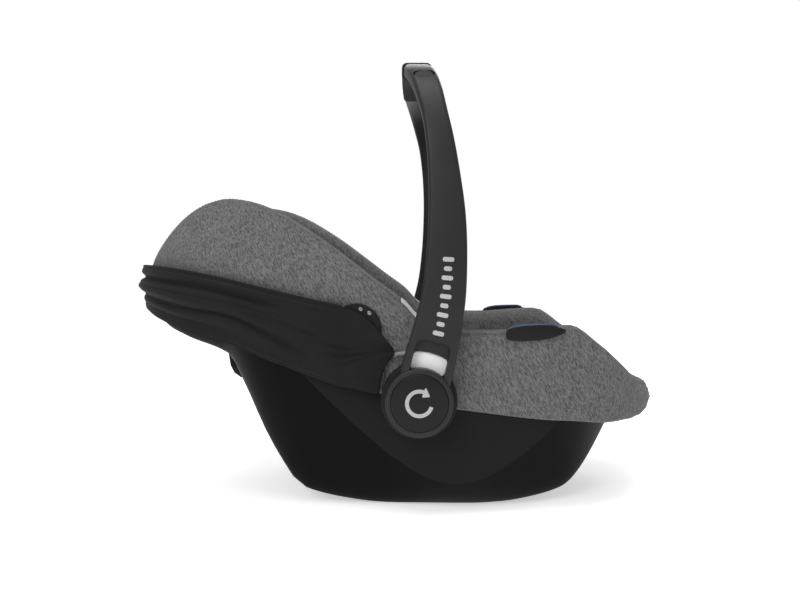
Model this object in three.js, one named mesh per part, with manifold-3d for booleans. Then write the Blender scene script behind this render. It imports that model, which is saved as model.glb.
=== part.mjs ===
// Infant car seat of the rocking-shell kind, with a U-shaped carrying handle, a fabric cover,
// a folding canopy and a five-point harness.
// Millimetres. +X points to the child's feet, +Z up, and the origin is under the middle of the box.
// The child's right side is at -Y. Shapes that exist on both sides are made by a loop over SIDES.
import * as THREE from "three";
import { mergeVertices } from "three/addons/utils/BufferGeometryUtils.js";
import Module from "manifold-3d";

const wasm = await Module();
wasm.setup();

// ---------- driving dimensions ----------
const GAP = 0.4; // clearance between neighbouring solids
const SIDES = [
  { name: "right", sign: -1 },
  { name: "left", sign: 1 },
];
const PLAN_POWER = 2.4; // squareness of the shell's rounded ends in plan
const HEAD_START = -110; // the sides run straight between these two places
const FOOT_START = 120;
const SHELL = { half: 172, head: -316, foot: 289, wall: 4 };
const COVER = { half: 178, head: -322, foot: 332, lining: 6 };
const SEAT = { half: 141, head: -288, foot: 297, corner: 70 };
const FOAM = 20; // thickness of the foam liner
const BASE_SHARE = 0.69; // the flat underside is this much of the shell's width
const ROCKER = { middle: 49, flat: 45, curve: 722 };
const PIVOT = new THREE.Vector3(29, 0, 140); // handle axis
const HUB = { disc: 39, button: 32.8, housing: 44, plate: 56, window: 72 };
const ARM = { inner: 201, thick: 13 };
const CANOPY = { x: -45, z: 220, half: 184.3, head: -327.8, thick: 3.7, power: 3 };
const FRONT_BOW_SLOPE = 0.2055;
const MIDDLE_BOW_SLOPE = 0.11;

// ---------- outlines ----------
// A smooth curve through points sorted by x that never overshoots them.
function smoothCurve(points) {
  const n = points.length;
  const slope = [];
  for (let i = 0; i < n - 1; i++) {
    slope.push((points[i + 1][1] - points[i][1]) / (points[i + 1][0] - points[i][0]));
  }
  const tangent = [slope[0]];
  for (let i = 1; i < n - 1; i++) {
    const [a, b] = [slope[i - 1], slope[i]];
    tangent.push(a * b <= 0 ? 0 : (2 * a * b) / (a + b));
  }
  tangent.push(slope[n - 2]);
  return (x) => {
    if (x <= points[0][0]) return points[0][1];
    if (x >= points[n - 1][0]) return points[n - 1][1];
    let i = 0;
    while (x > points[i + 1][0]) i++;
    const h = points[i + 1][0] - points[i][0];
    const t = (x - points[i][0]) / h;
    const [t2, t3] = [t * t, t * t * t];
    return (
      (2 * t3 - 3 * t2 + 1) * points[i][1] +
      (t3 - 2 * t2 + t) * h * tangent[i] +
      (3 * t2 - 2 * t3) * points[i + 1][1] +
      (t3 - t2) * h * tangent[i + 1]
    );
  };
}

const rocker = (x) => Math.max(0, Math.abs(x - ROCKER.middle) - ROCKER.flat) ** 2 / ROCKER.curve;
const KEEL = [
  [-316, 262], [-310, 240], [-300, 221], [-262, 204], [-206, 184], [-187, 150], [-159, 88],
  [-137, 49], [-120, 25], [-106, rocker(-106)], [-60, rocker(-60)], [-20, rocker(-20)], [4, 0],
  [94, 0], [130, rocker(130)], [170, rocker(170)], [206, rocker(206)], [217, 24], [273, 97], [289, 118],
];
const FLOOR = [
  [-288, 305], [-282, 281], [-268, 262], [-247, 243], [-200, 207], [-150, 170], [-100, 140], [-50, 112],
  [0, 90], [50, 77], [100, 75], [150, 88], [200, 107], [250, 124], [282, 134], [297, 146],
];
const CREST = smoothCurve([
  [-322, 284], [-310, 293], [-302, 305], [-286, 322], [-270, 338], [-247, 356], [-224, 367], [-198, 372],
  [-174, 369], [-144, 359], [-94, 330], [-20, 275], [11, 252], [30, 232], [60, 217], [120, 217], [207, 222],
  [244, 199], [284, 165], [298, 152], [318, 144], [332, 128],
]);
const SKIRT = smoothCurve([
  [-322, 262], [-300, 250], [-200, 236], [-120, 215], [-60, 180], [-30, 150], [-12, 145], [10, 135],
  [70, 128], [137, 119.5], [176, 115], [210, 112.5], [262, 107], [300, 108], [320, 113], [332, 121],
]);
const RIM = smoothCurve([
  [-316, 276], [-286, 291], [-200, 300], [-94, 262], [-20, 225], [60, 203], [95, 190], [130, 155],
  [195, 132], [262, 122], [289, 122],
]);
// The lower edge of the flat side panel, a sharp U-shaped crease.
const crease = (x) => 36.5 + 88.4 * (Math.hypot(1, (x - 73) / 80) - 1);

// Moves a lengthwise profile along its own normals: positive is up and inward.
function offsetProfile(points, distance) {
  return points.map((p, i) => {
    const a = points[Math.max(0, i - 1)];
    const b = points[Math.min(points.length - 1, i + 1)];
    const length = Math.hypot(b[0] - a[0], b[1] - a[1]);
    return [p[0] - ((b[1] - a[1]) / length) * distance, p[1] + ((b[0] - a[0]) / length) * distance];
  });
}

// Half the width in plan of a shape with straight sides and rounded ends.
function planHalf(x, half, head, foot, power = PLAN_POWER) {
  const start = x < HEAD_START ? HEAD_START : FOOT_START;
  if (x >= HEAD_START && x <= FOOT_START) return half;
  const end = x < HEAD_START ? head : foot;
  const u = Math.min(1, (x - start) / (end - start));
  return half * (1 - u ** power) ** (1 / power);
}

// The head wings lean inward above this height.
const WING = { from: 285, lean: 0.18 };
const lean = (z) => WING.lean * Math.max(0, z - WING.from);
const wingStart = (low, high) => THREE.MathUtils.clamp(WING.from, low + 0.3 * (high - low), high - 0.5);

const STATIONS = [
  -308, -285, -258, -230, -206, -187, -159, -137, -120, -95, -40, 4, 34, 60, 94, 130, 170, 206, 217, 245, 271,
  290, 312, 325,
];
function stationsBetween(head, foot) {
  const margin = 2;
  const inside = STATIONS.filter((x) => x > head + margin && x < foot - margin);
  return [head + margin / 4, ...inside, foot - margin / 4];
}

// ---------- solids ----------
function solidOf(geometry) {
  const bare = geometry.clone();
  bare.deleteAttribute("normal");
  bare.deleteAttribute("uv");
  const merged = mergeVertices(bare, 1e-4);
  return new wasm.Manifold(
    new wasm.Mesh({
      numProp: 3,
      vertProperties: merged.attributes.position.array,
      triVerts: new Uint32Array(merged.index.array),
    }),
  );
}

function geometryOf(solid) {
  const mesh = solid.getMesh();
  const geometry = new THREE.BufferGeometry();
  geometry.setAttribute("position", new THREE.BufferAttribute(mesh.vertProperties, 3));
  geometry.setIndex(new THREE.BufferAttribute(mesh.triVerts, 1));
  geometry.computeVertexNormals();
  return geometry;
}

// Joins rings of points, all with the same count, into one closed solid with flat ends.
function loft(rings) {
  const count = rings[0].length;
  const positions = rings.flat().flatMap((p) => [p.x, p.y, p.z]);
  const faces = [];
  for (let r = 0; r < rings.length - 1; r++) {
    for (let i = 0; i < count; i++) {
      const [a, b] = [r * count + i, r * count + ((i + 1) % count)];
      faces.push([a, b, b + count], [a, b + count, a + count]);
    }
  }
  for (const [ring, turned] of [[0, true], [rings.length - 1, false]]) {
    const middle = rings[ring].reduce((sum, p) => sum.add(p), new THREE.Vector3()).divideScalar(count);
    const centre = positions.length / 3;
    positions.push(middle.x, middle.y, middle.z);
    for (let i = 0; i < count; i++) {
      const [a, b] = [ring * count + i, ring * count + ((i + 1) % count)];
      faces.push(turned ? [b, a, centre] : [a, b, centre]);
    }
  }
  const point = (i) => new THREE.Vector3().fromArray(positions, 3 * i);
  const volume = faces.reduce((sum, [a, b, c]) => sum + point(a).dot(point(b).cross(point(c))), 0);
  const index = faces.flatMap(([a, b, c]) => (volume < 0 ? [a, c, b] : [a, b, c]));
  const geometry = new THREE.BufferGeometry();
  geometry.setAttribute("position", new THREE.Float32BufferAttribute(positions, 3));
  geometry.setIndex(index);
  return solidOf(geometry);
}

// A section in the plane of one station: the side points, lowest first, mirrored about the middle.
function sectionRing(x, side) {
  const place = (y, z, sign) => new THREE.Vector3(x, sign * Math.max(1, y - lean(z)), z);
  const right = side.map(([y, z]) => place(y, z, -1));
  const left = side.map(([y, z]) => place(y, z, 1)).reverse();
  return [...right, ...left];
}

// The outer hull of the tub, moved inward by inset, and filled up to the height top(x).
function hull(inset, top) {
  const keel = smoothCurve(offsetProfile(KEEL, inset));
  const [head, foot] = [SHELL.head + inset, SHELL.foot - inset];
  const ring = (x) => {
    const half = planHalf(x, SHELL.half - inset, head, foot);
    const [low, high] = [Math.min(keel(x), top(x) - 2), top(x)];
    const turn = Math.max(low + 1, Math.min(crease(x), high - 1));
    const base = BASE_SHARE * half;
    const lower = [0, 0.1, 0.3, 0.6, 1].map((t) => {
      const z = low + t * (turn - low);
      const share = THREE.MathUtils.clamp((z - low) / (crease(x) - low), 0, 1);
      return [base + (half - base) * share ** 0.6, z];
    });
    return sectionRing(x, [...lower, [half, wingStart(turn, high)], [half, high]]);
  };
  return loft(stationsBetween(head, foot).map(ring));
}

// The bowl that the child lies in, grown outward by grow, and filled up to the height top(x).
function bowl(grow, top) {
  const floor = smoothCurve(offsetProfile(FLOOR, -grow));
  const [head, foot] = [SEAT.head - grow, SEAT.foot + grow];
  const ring = (x) => {
    const half = planHalf(x, SEAT.half + grow, head, foot);
    const high = top(x);
    const low = Math.min(floor(x), high - 3);
    const corner = Math.min(SEAT.corner, high - low - 1);
    const side = [0.015, 0.05, 0.15, 0.35, 0.65, 1].map((t) => {
      return [half * (1 - (1 - t) ** 2.5) ** 0.4, low + t * corner];
    });
    return sectionRing(x, [...side, [half, wingStart(low + corner, high)], [half, high]]);
  };
  return loft(stationsBetween(head, foot).map(ring));
}

// A block with the plan of the shell's sides, between the heights low(x) and high(x).
function block(half, head, foot, low, high) {
  const ring = (x) => {
    const width = planHalf(x, half, head, foot);
    const [bottom, top] = [Math.min(low(x), high(x) - 3), high(x)];
    return sectionRing(x, [[width, bottom], [width, wingStart(bottom, top)], [width, top]]);
  };
  return loft(stationsBetween(head, foot).map(ring));
}

// A cylinder about the handle's axis direction, between two distances from the middle plane.
function disc(radius, from, to, sign, centre = PIVOT, segments = 40) {
  const geometry = new THREE.CylinderGeometry(radius, radius, to - from, segments);
  return solidOf(geometry.translate(centre.x, (sign * (from + to)) / 2, centre.z));
}

function boxBetween(low, high) {
  const size = new THREE.Vector3().subVectors(high, low);
  const middle = new THREE.Vector3().addVectors(low, high).multiplyScalar(0.5);
  return solidOf(new THREE.BoxGeometry(size.x, size.y, size.z).translate(middle.x, middle.y, middle.z));
}

// An outline in the XZ plane, extruded between two distances from the middle plane.
function plate(shape, from, to, sign, curveSegments = 12) {
  const geometry = new THREE.ExtrudeGeometry(shape, { depth: to - from, bevelEnabled: false, curveSegments });
  geometry.rotateX(Math.PI / 2).translate(0, sign > 0 ? to : -from, 0);
  return solidOf(geometry);
}

// A flat band along a path in the XZ plane: width across Y, thickness along the path's normal.
// Its middle is at y, one number or one for each point.
function strap(points, width, thick, y = 0) {
  const rings = points.map(([x, z], i) => {
    const [a, b] = [points[Math.max(0, i - 1)], points[Math.min(points.length - 1, i + 1)]];
    const normal = new THREE.Vector3(a[1] - b[1], 0, b[0] - a[0]).normalize().multiplyScalar(thick / 2);
    const middle = Array.isArray(y) ? y[i] : y;
    const edge = (side) => new THREE.Vector3(x, middle + (side * width) / 2, z);
    return [edge(-1).sub(normal), edge(1).sub(normal), edge(1).add(normal), edge(-1).add(normal)];
  });
  return loft(rings);
}

// ---------- the group and its materials ----------
const car_seat = new THREE.Group();
function material(color, roughness, metalness = 0) {
  return () => new THREE.MeshStandardMaterial({ color, roughness, metalness });
}
const shellPlastic = material(0x1d1d1e, 0.45);
const handlePlastic = material(0x2f2f31, 0.4);
const knitCover = material(0x6e6e6e, 0.95);
const canopyCloth = material(0x222224, 0.9);
const whitePlastic = material(0xf2f2f2, 0.4);
const greyPlastic = material(0x9c9c9e, 0.45);
const bluePlastic = material(0x4a6f9f, 0.4);
const redPlastic = material(0xb2201c, 0.4);
const foamBeads = material(0xe8e8e4, 0.9);
const webbing = material(0x1b1b1c, 0.85);
const padCloth = material(0x39393b, 0.95);
const softRubber = material(0x202022, 0.8);
const steel = material(0xb8b8bc, 0.3, 1);

function add(name, solid, makeMaterial) {
  const mesh = new THREE.Mesh(geometryOf(solid), makeMaterial());
  mesh.name = name;
  car_seat.add(mesh);
}

// ---------- shell, liner and cover ----------
const FAR = 900; // higher than anything, for cuts that are open at the top
const above = () => FAR;

function makeShell() {
  const outside = hull(0, RIM);
  const inside = hull(SHELL.wall, (x) => RIM(x) + 40);
  add("outer_shell", outside.subtract(inside), shellPlastic);
}

// The liner stands inside the shell, and above its rim it is as wide as the cover lets it be.
function makeFoam() {
  const rimGap = (x) => RIM(x) + GAP;
  const top = (x) => CREST(x) - 9;
  const inShell = hull(SHELL.wall + 1.2, (x) => RIM(x) + 30);
  const [half, head, foot] = [COVER.half - 6.4, COVER.head + 6.4, COVER.foot - 6.4];
  const overRim = block(half, head, foot, rimGap, top);
  const outside = bowl(COVER.lining + GAP + FOAM, top).intersect(inShell).add(overRim);
  const inside = bowl(COVER.lining + GAP, (x) => CREST(x) + 30);
  let foam = cutHarnessSlots(outside.subtract(inside));
  for (const { sign } of SIDES) foam = foam.subtract(guideNotch(sign));
  add("foam_liner", foam, foamBeads);
}

function makeCover() {
  const lowered = block(COVER.half, COVER.head, COVER.foot, SKIRT, CREST);
  const lining = bowl(COVER.lining, CREST);
  const cavity = bowl(0, (x) => CREST(x) + 30);
  const [half, head, foot] = [COVER.half - 6, COVER.head + 6, COVER.foot - 6];
  const filled = block(half, head, foot, (x) => SKIRT(x) - 30, (x) => CREST(x) - 8.5);
  const hollow = filled.subtract(bowl(COVER.lining, above));
  let cover = lowered.add(lining).subtract(cavity).subtract(hollow);
  cover = cover.subtract(hull(-GAP, RIM).subtract(bowl(COVER.lining, above)));
  for (const { sign } of SIDES) {
    const hubOpening = disc(HUB.housing + 2, SHELL.half - 2, COVER.half + 4, sign);
    cover = cover.subtract(hubOpening).subtract(guideNotch(sign));
  }
  add("seat_cover", cutHarnessSlots(cover), knitCover);
}

// ---------- harness ----------
const STRAP = { width: 38, thick: 2, y: 45, slotX: -137, crotchX: 96 };
const SLOT = { long: 44, wide: 7 };
const floorAt = smoothCurve(FLOOR);

function cutHarnessSlots(solid) {
  const slots = SIDES.map(({ sign }) => [STRAP.slotX, sign * STRAP.y]);
  slots.push([STRAP.crotchX, 0]);
  for (const [x, y] of slots) {
    const low = new THREE.Vector3(x - SLOT.wide / 2, y - SLOT.long / 2, floorAt(x) - 60);
    const high = new THREE.Vector3(x + SLOT.wide / 2, y + SLOT.long / 2, floorAt(x) + 60);
    solid = solid.subtract(boxBetween(low, high));
  }
  return solid;
}

const INSERT = { head: -150, foot: 72, thick: 13, half: 100 };
const insertTop = (x) => floorAt(x) + INSERT.thick + 6;

// A soft pad lying in the bowl: its underside follows the bowl, its top the height top(x).
function padInBowl(from, to, half, top) {
  const stations = [];
  const steps = 8;
  for (let i = 0; i <= steps; i++) stations.push(from + ((to - from) * i) / steps);
  const rings = stations.map((x) => sectionRing(x, [[half, floorAt(x) - 20], [half, top(x)]]));
  return loft(rings).intersect(bowl(-GAP, above));
}

function makeInsert() {
  const insert = padInBowl(INSERT.head, INSERT.foot, INSERT.half, insertTop);
  add("newborn_insert", cutHarnessSlots(insert), padCloth);
}

const HEAD_PAD = { head: -283, foot: -155, half: 112, rise: 52, hollow: 58, hollowHead: -250, base: 15 };
function makeHeadSupport() {
  const outside = padInBowl(HEAD_PAD.head, HEAD_PAD.foot, HEAD_PAD.half, (x) => floorAt(x) + HEAD_PAD.rise);
  const hollowFloor = (x) => floorAt(x) + HEAD_PAD.base;
  const rings = [HEAD_PAD.hollowHead, -225, -200, -175, -140].map((x) => {
    const share = Math.min(1, (x - HEAD_PAD.hollowHead + 12) / 40);
    const half = HEAD_PAD.hollow * Math.sqrt(share);
    return sectionRing(x, [[half, hollowFloor(x)], [half, hollowFloor(x) + 90]]);
  });
  add("head_support", outside.subtract(loft(rings)), padCloth);
}

// Height of the middle of a strap that lies on the insert.
const strapLine = (x) => insertTop(x) + 4;
const BUCKLE = { x: 38, long: 62, wide: 46, thick: 17 };
const TONGUE = { x: -8, long: 34 };

function makeShoulderStraps() {
  for (const { name, sign } of SIDES) {
    const xs = [-128, -112, -90, -65, -40, -22];
    const start = [
      [STRAP.slotX, floorAt(STRAP.slotX) - 34],
      [STRAP.slotX, floorAt(STRAP.slotX) + 8],
      [STRAP.slotX + 3, strapLine(STRAP.slotX) - 1],
    ];
    const path = [...start, ...xs.map((x) => [x, strapLine(x) + 1])];
    const ys = path.map(([x]) => sign * THREE.MathUtils.mapLinear(Math.max(x, -128), -128, -22, STRAP.y, 22));
    add(`shoulder_strap_${name}`, strap(path, STRAP.width - 4, STRAP.thick, ys), webbing);
    const padXs = [-112, -98, -84, -70, -56, -42];
    const padPath = padXs.map((x) => [x, strapLine(x) + 7.5]);
    const padYs = padXs.map((x) => sign * THREE.MathUtils.mapLinear(x, -128, -22, STRAP.y, 22));
    add(`chest_pad_${name}`, strap(padPath, STRAP.width + 2, 9, padYs), padCloth);
  }
}

function makeBuckle() {
  const slope = -0.25;
  const level = (x) => strapLine(x) + 12;
  const tilt = Math.atan(slope);
  const place = (geometry, x, up = 0) => {
    geometry.rotateY(-tilt).translate(x, 0, level(BUCKLE.x) + slope * (x - BUCKLE.x) + up);
    return solidOf(geometry);
  };
  const outline = new THREE.Shape();
  const [l, w, r] = [BUCKLE.long / 2, BUCKLE.wide / 2, 9];
  outline.moveTo(-l + r, -w).lineTo(l - r, -w + 5).absarc(l - r, -w + 5 + r, r, -Math.PI / 2, 0);
  outline.absarc(l - r, w - 5 - r, r, 0, Math.PI / 2).lineTo(-l + r, w);
  outline.absarc(-l + r, w - r, r, Math.PI / 2, Math.PI).absarc(-l + r, -w + r, r, Math.PI, 1.5 * Math.PI);
  const flat = { depth: BUCKLE.thick, bevelEnabled: false, curveSegments: 5 };
  const body = place(new THREE.ExtrudeGeometry(outline, flat).translate(0, 0, -BUCKLE.thick / 2), BUCKLE.x);
  const recess = place(new THREE.BoxGeometry(26.8, 26.8, 12), BUCKLE.x + 8, 6);
  const mouth = place(new THREE.BoxGeometry(24, 40, 5), BUCKLE.x - 26, 0);
  add("buckle_body", body.subtract(recess).subtract(mouth), shellPlastic);
  const button = place(new THREE.BoxGeometry(26, 26, 6, 1, 1, 1), BUCKLE.x + 8, 7);
  add("buckle_button", button, redPlastic);
  for (const { name, sign } of SIDES) {
    const tongue = new THREE.BoxGeometry(TONGUE.long, 17, 2.4).translate(0, sign * 9.4, 0);
    const eye = new THREE.BoxGeometry(16, 40 - 22, 2.4).translate(-20, sign * 13, 0);
    const both = place(tongue, TONGUE.x + 10).add(place(eye, TONGUE.x + 10));
    add(`buckle_tongue_${name}`, both, steel);
  }
}

function makeCrotchStrap() {
  const level = insertTop(60) + 9;
  const path = [
    [STRAP.crotchX, floorAt(STRAP.crotchX) - 30],
    [STRAP.crotchX, floorAt(STRAP.crotchX) + 14],
    [STRAP.crotchX - 4, floorAt(STRAP.crotchX) + 22],
    [STRAP.crotchX - 14, level - 1],
    [BUCKLE.x + BUCKLE.long / 2 + 1, level],
  ];
  add("crotch_strap", strap(path, 34, STRAP.thick), webbing);
}

function makeAdjuster() {
  const x = 160;
  const slope = Math.atan2(floorAt(x + 20) - floorAt(x - 20), 40);
  const place = (geometry, up) => solidOf(geometry.rotateY(-slope).translate(x, 0, floorAt(x) + up));
  const housing = place(new THREE.BoxGeometry(54, 46, 12), 9);
  const recess = place(new THREE.BoxGeometry(34, 30, 12), 14);
  add("adjuster_housing", housing.subtract(recess), shellPlastic);
  add("adjuster_lever", place(new THREE.BoxGeometry(32.5, 28.5, 5), 14.2), greyPlastic);
}

function makeYoke() {
  const under = smoothCurve(offsetProfile(FLOOR, -(COVER.lining + GAP + FOAM + 7)));
  const yokePath = [[-128, under(-128)], [-100, under(-100)]];
  add("harness_yoke", strap(yokePath, 96, 2.5), steel);
  const xs = [-94, -50, 0, 50, 100, 150];
  add("adjuster_strap", strap(xs.map((x) => [x, under(x)]), 26, STRAP.thick), webbing);
}

// ---------- handle pivots ----------
const LOCK = { gear: 22.5, teeth: 16, bore: 24, stem: 10 };
const FACE = { housing: 199.5, arm: ARM.inner, floor: 208, ring: 217.5, button: 218.6 };
const WINDOW = { tilt: THREE.MathUtils.degToRad(14), half: 20, corner: 9, through: 58 };

// A point of the arm's window: across its width, and along it from the pivot.
function armPoint(across, along) {
  const [c, s] = [Math.cos(WINDOW.tilt), Math.sin(WINDOW.tilt)];
  return [PIVOT.x + across * c + along * s, PIVOT.z - across * s + along * c];
}

function windowShape(half, from, to) {
  const r = WINDOW.corner;
  const outline = [[-half, from], [half, from]];
  for (let i = 0; i <= 4; i++) {
    const angle = (i / 4) * (Math.PI / 2);
    outline.push([half - r + r * Math.cos(angle), to - r + r * Math.sin(angle)]);
  }
  for (let i = 0; i <= 4; i++) {
    const angle = Math.PI / 2 + (i / 4) * (Math.PI / 2);
    outline.push([-half + r + r * Math.cos(angle), to - r + r * Math.sin(angle)]);
  }
  return new THREE.Shape(outline.map(([a, b]) => new THREE.Vector2(...armPoint(a, b))));
}

function gearShape(outer, inner, teeth) {
  const points = [];
  for (let i = 0; i < 4 * teeth; i++) {
    const angle = ((i + 0.5) / (4 * teeth)) * 2 * Math.PI;
    const radius = i % 4 < 2 ? outer : inner;
    points.push(new THREE.Vector2(PIVOT.x + radius * Math.cos(angle), PIVOT.z + radius * Math.sin(angle)));
  }
  return new THREE.Shape(points);
}

function makePivots() {
  for (const { name, sign } of SIDES) {
    const housing = disc(HUB.housing, SHELL.half + GAP, FACE.housing, sign);
    const bore = disc(LOCK.bore, SHELL.half + 3, FACE.housing + 1, sign);
    add(`lock_housing_${name}`, housing.subtract(bore), shellPlastic);
    const ring = disc(HUB.plate, SHELL.half + 18, FACE.housing, sign);
    const corners = [[-34, 20], [34, 20], [40, 70], [-40, 70]];
    const sector = new THREE.Shape(corners.map(([a, b]) => new THREE.Vector2(...armPoint(a, b))));
    const plateSolid = ring.intersect(plate(sector, SHELL.half + 10, FACE.housing + 5, sign));
    const hole = disc(HUB.housing + GAP, SHELL.half, FACE.housing + 5, sign);
    add(`position_plate_${name}`, plateSolid.subtract(hole), whitePlastic);
    const toothed = gearShape(LOCK.gear, LOCK.gear - 3, LOCK.teeth);
    const gear = plate(toothed, SHELL.half + 5, ARM.inner - GAP, sign);
    const gearBore = disc(LOCK.stem + GAP, SHELL.half, ARM.inner + 1, sign, PIVOT, 24);
    add(`lock_gear_${name}`, gear.subtract(gearBore), greyPlastic);
    const cap = disc(HUB.button, FACE.button - 6, FACE.button, sign, PIVOT, 44);
    const stem = disc(LOCK.stem, SHELL.half + 22, FACE.button - 3, sign, PIVOT, 24);
    add(`pivot_button_${name}`, cap.add(stem), handlePlastic);
    const washer = disc(17, FACE.floor + GAP, FACE.button - 6 - GAP, sign, PIVOT, 24);
    const eye = disc(13.5, FACE.floor, FACE.button, sign, PIVOT, 24);
    add(`button_spring_${name}`, washer.subtract(eye), steel);
  }
}

// ---------- handle ----------
// The handle's section up one side: height, distance of its middle from the middle plane, rear edge,
// front edge and depth.
const HANDLE = [
  [141, 207.5, 1, 57, 13], [175, 207.5, 8, 67, 13], [200, 207.5, 15, 72.5, 13], [225, 207, 22.5, 77, 13],
  [255, 206.2, 30, 81, 12.5], [300, 203.5, 36, 83, 12], [350, 199.5, 39, 81.5, 12],
  [400, 193.7, 39, 75, 12.5], [440, 186.7, 36, 68, 13.5], [472, 175.5, 31, 61, 15],
  [492, 164, 25.5, 57, 16.5], [508, 149, 20.5, 53, 17], [520, 130, 16, 49, 17.5], [529, 105, 12, 45, 17.5],
  [535.5, 75, 10, 42.5, 17.5], [542, 40, 9, 41, 17], [544, 0, 9, 41, 17],
];

function handleRings(grow, reach) {
  const half = HANDLE.map(([z, y, rear, front, depth]) => {
    return { z, y, x: (rear + front) / 2, wide: front - rear, depth };
  });
  const other = half.slice(0, -1).map((p) => ({ ...p, y: -p.y }));
  const path = [...other, ...half.reverse()].filter((p) => Math.abs(p.y) <= reach);
  return path.map((p, i) => {
    const [a, b] = [path[Math.max(0, i - 1)], path[Math.min(path.length - 1, i + 1)]];
    const along = new THREE.Vector3(b.x - a.x, b.y - a.y, b.z - a.z).normalize();
    const across = new THREE.Vector3(1, 0, 0).addScaledVector(along, -along.x).normalize();
    const out = new THREE.Vector3().crossVectors(across, along);
    const [w, d] = [p.wide / 2 + grow, p.depth / 2 + grow];
    const cut = 0.3 * p.depth;
    const outline = [
      [w, -d + cut], [w, d - cut], [w - 1.4 * cut, d], [-w + 1.4 * cut, d],
      [-w, d - cut], [-w, -d + cut], [-w + cut, -d], [w - cut, -d],
    ];
    const centre = new THREE.Vector3(p.x, p.y, p.z);
    return outline.map(([u, v]) => centre.clone().addScaledVector(across, u).addScaledVector(out, v));
  });
}

// The oval release button on each shoulder: its place, and the outward normal of the face there.
const RELEASE = { x: 35, y: 140, z: 514, long: 12.5, short: 9, lean: 0.86 };
function releaseOval(grow, from, to, sign) {
  const oval = new THREE.CylinderGeometry(1, 1, to - from, 32);
  oval.translate(0, (sign * (from + to)) / 2, 0).scale(RELEASE.long + grow, 1, RELEASE.short + grow);
  oval.rotateX(sign * (Math.PI / 2 - RELEASE.lean)).translate(RELEASE.x, sign * RELEASE.y, RELEASE.z);
  return solidOf(oval);
}

function makeHandle() {
  let frame = loft(handleRings(0, 300));
  for (const { name, sign } of SIDES) {
    frame = frame.add(disc(HUB.disc, ARM.inner, FACE.ring, sign, PIVOT, 44));
    frame = frame.subtract(disc(HUB.button + GAP, FACE.floor, FACE.ring + 9, sign, PIVOT, 44));
    frame = frame.subtract(disc(12.6, ARM.inner - 5, FACE.ring, sign, PIVOT, 24));
    const opening = windowShape(WINDOW.half, 20, WINDOW.through);
    const outsideDisc = disc(HUB.disc, ARM.inner - 9, FACE.ring + 9, sign, PIVOT, 44);
    frame = frame.subtract(plate(opening, ARM.inner - 5, FACE.ring, sign).subtract(outsideDisc));
    const recess = windowShape(WINDOW.half, 20, HUB.window);
    frame = frame.subtract(plate(recess, ARM.inner + 5, FACE.ring, sign).subtract(outsideDisc));
    frame = frame.subtract(releaseOval(GAP, 0.5, 20, sign));
    add(`release_button_${name}`, releaseOval(0, 3.2, 8, sign), handlePlastic);
  }
  const core = loft(handleRings(GAP, 90));
  add("handle_grip", loft(handleRings(1.5, 90)).subtract(loft(handleRings(GAP, 110))), softRubber);
  add("handle_frame", frame.subtract(core).add(loft(handleRings(0, 110))), handlePlastic);
}

// ---------- canopy ----------
const TOP_EDGE = smoothCurve([[-331.5, 284], [-322, 290], [-307, 293], [-57, 252]]);
const HEM = smoothCurve([
  [-331.5, 243], [-320, 241], [-297, 233], [-258, 220], [-214, 208], [-188, 202], [-154, 188], [-112, 172],
  [-78, 162], [-40, 150], [-16, 146],
]);
const RIVETS = [[-39, 244], [-28.8, 239.5]]; // flush in each side plate
const bowLine = (slope) => (x) => CANOPY.z + slope * (CANOPY.x - x);

// Points of a U-shaped plan outline, from the right side's front end round the head to the left.
function roundHead(half, head, start) {
  const right = [];
  for (const x of [start, (start + HEAD_START) / 2]) right.push([x, half]);
  const steps = 8;
  for (let i = 0; i < steps; i++) {
    const angle = (i / steps) * (Math.PI / 2);
    const [c, s] = [Math.cos(angle) ** (2 / CANOPY.power), Math.sin(angle) ** (2 / CANOPY.power)];
    right.push([HEAD_START + (head - HEAD_START) * s, half * c]);
  }
  const left = right.map(([x, y]) => [x, y]).reverse();
  return [...right.map(([x, y]) => [x, -y]), [head, 0], ...left];
}

function band(half, head, thick, start, low, high) {
  const inner = roundHead(half, head, start);
  const outer = roundHead(half + thick, head - thick, start);
  const rings = inner.map(([x, y], i) => {
    const [u, v] = outer[i];
    const at = (a, b, height) => new THREE.Vector3(a, b, height(x));
    return [at(x, y, low), at(u, v, low), at(u, v, high), at(x, y, high)];
  });
  return loft(rings);
}

function makeBow(half, head, slope) {
  const thick = 1.4;
  const line = bowLine(slope);
  const centre = new THREE.Vector3(CANOPY.x, 0, CANOPY.z);
  let bow = band(half, head, thick, CANOPY.x - 3, (x) => line(x) - 5, (x) => line(x) + 5);
  for (const { sign } of SIDES) {
    bow = bow.add(disc(9, half, half + thick, sign, centre, 24));
    bow = bow.subtract(disc(3.4, half - 1, half + thick + 1, sign, centre, 20));
  }
  return bow;
}

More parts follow.
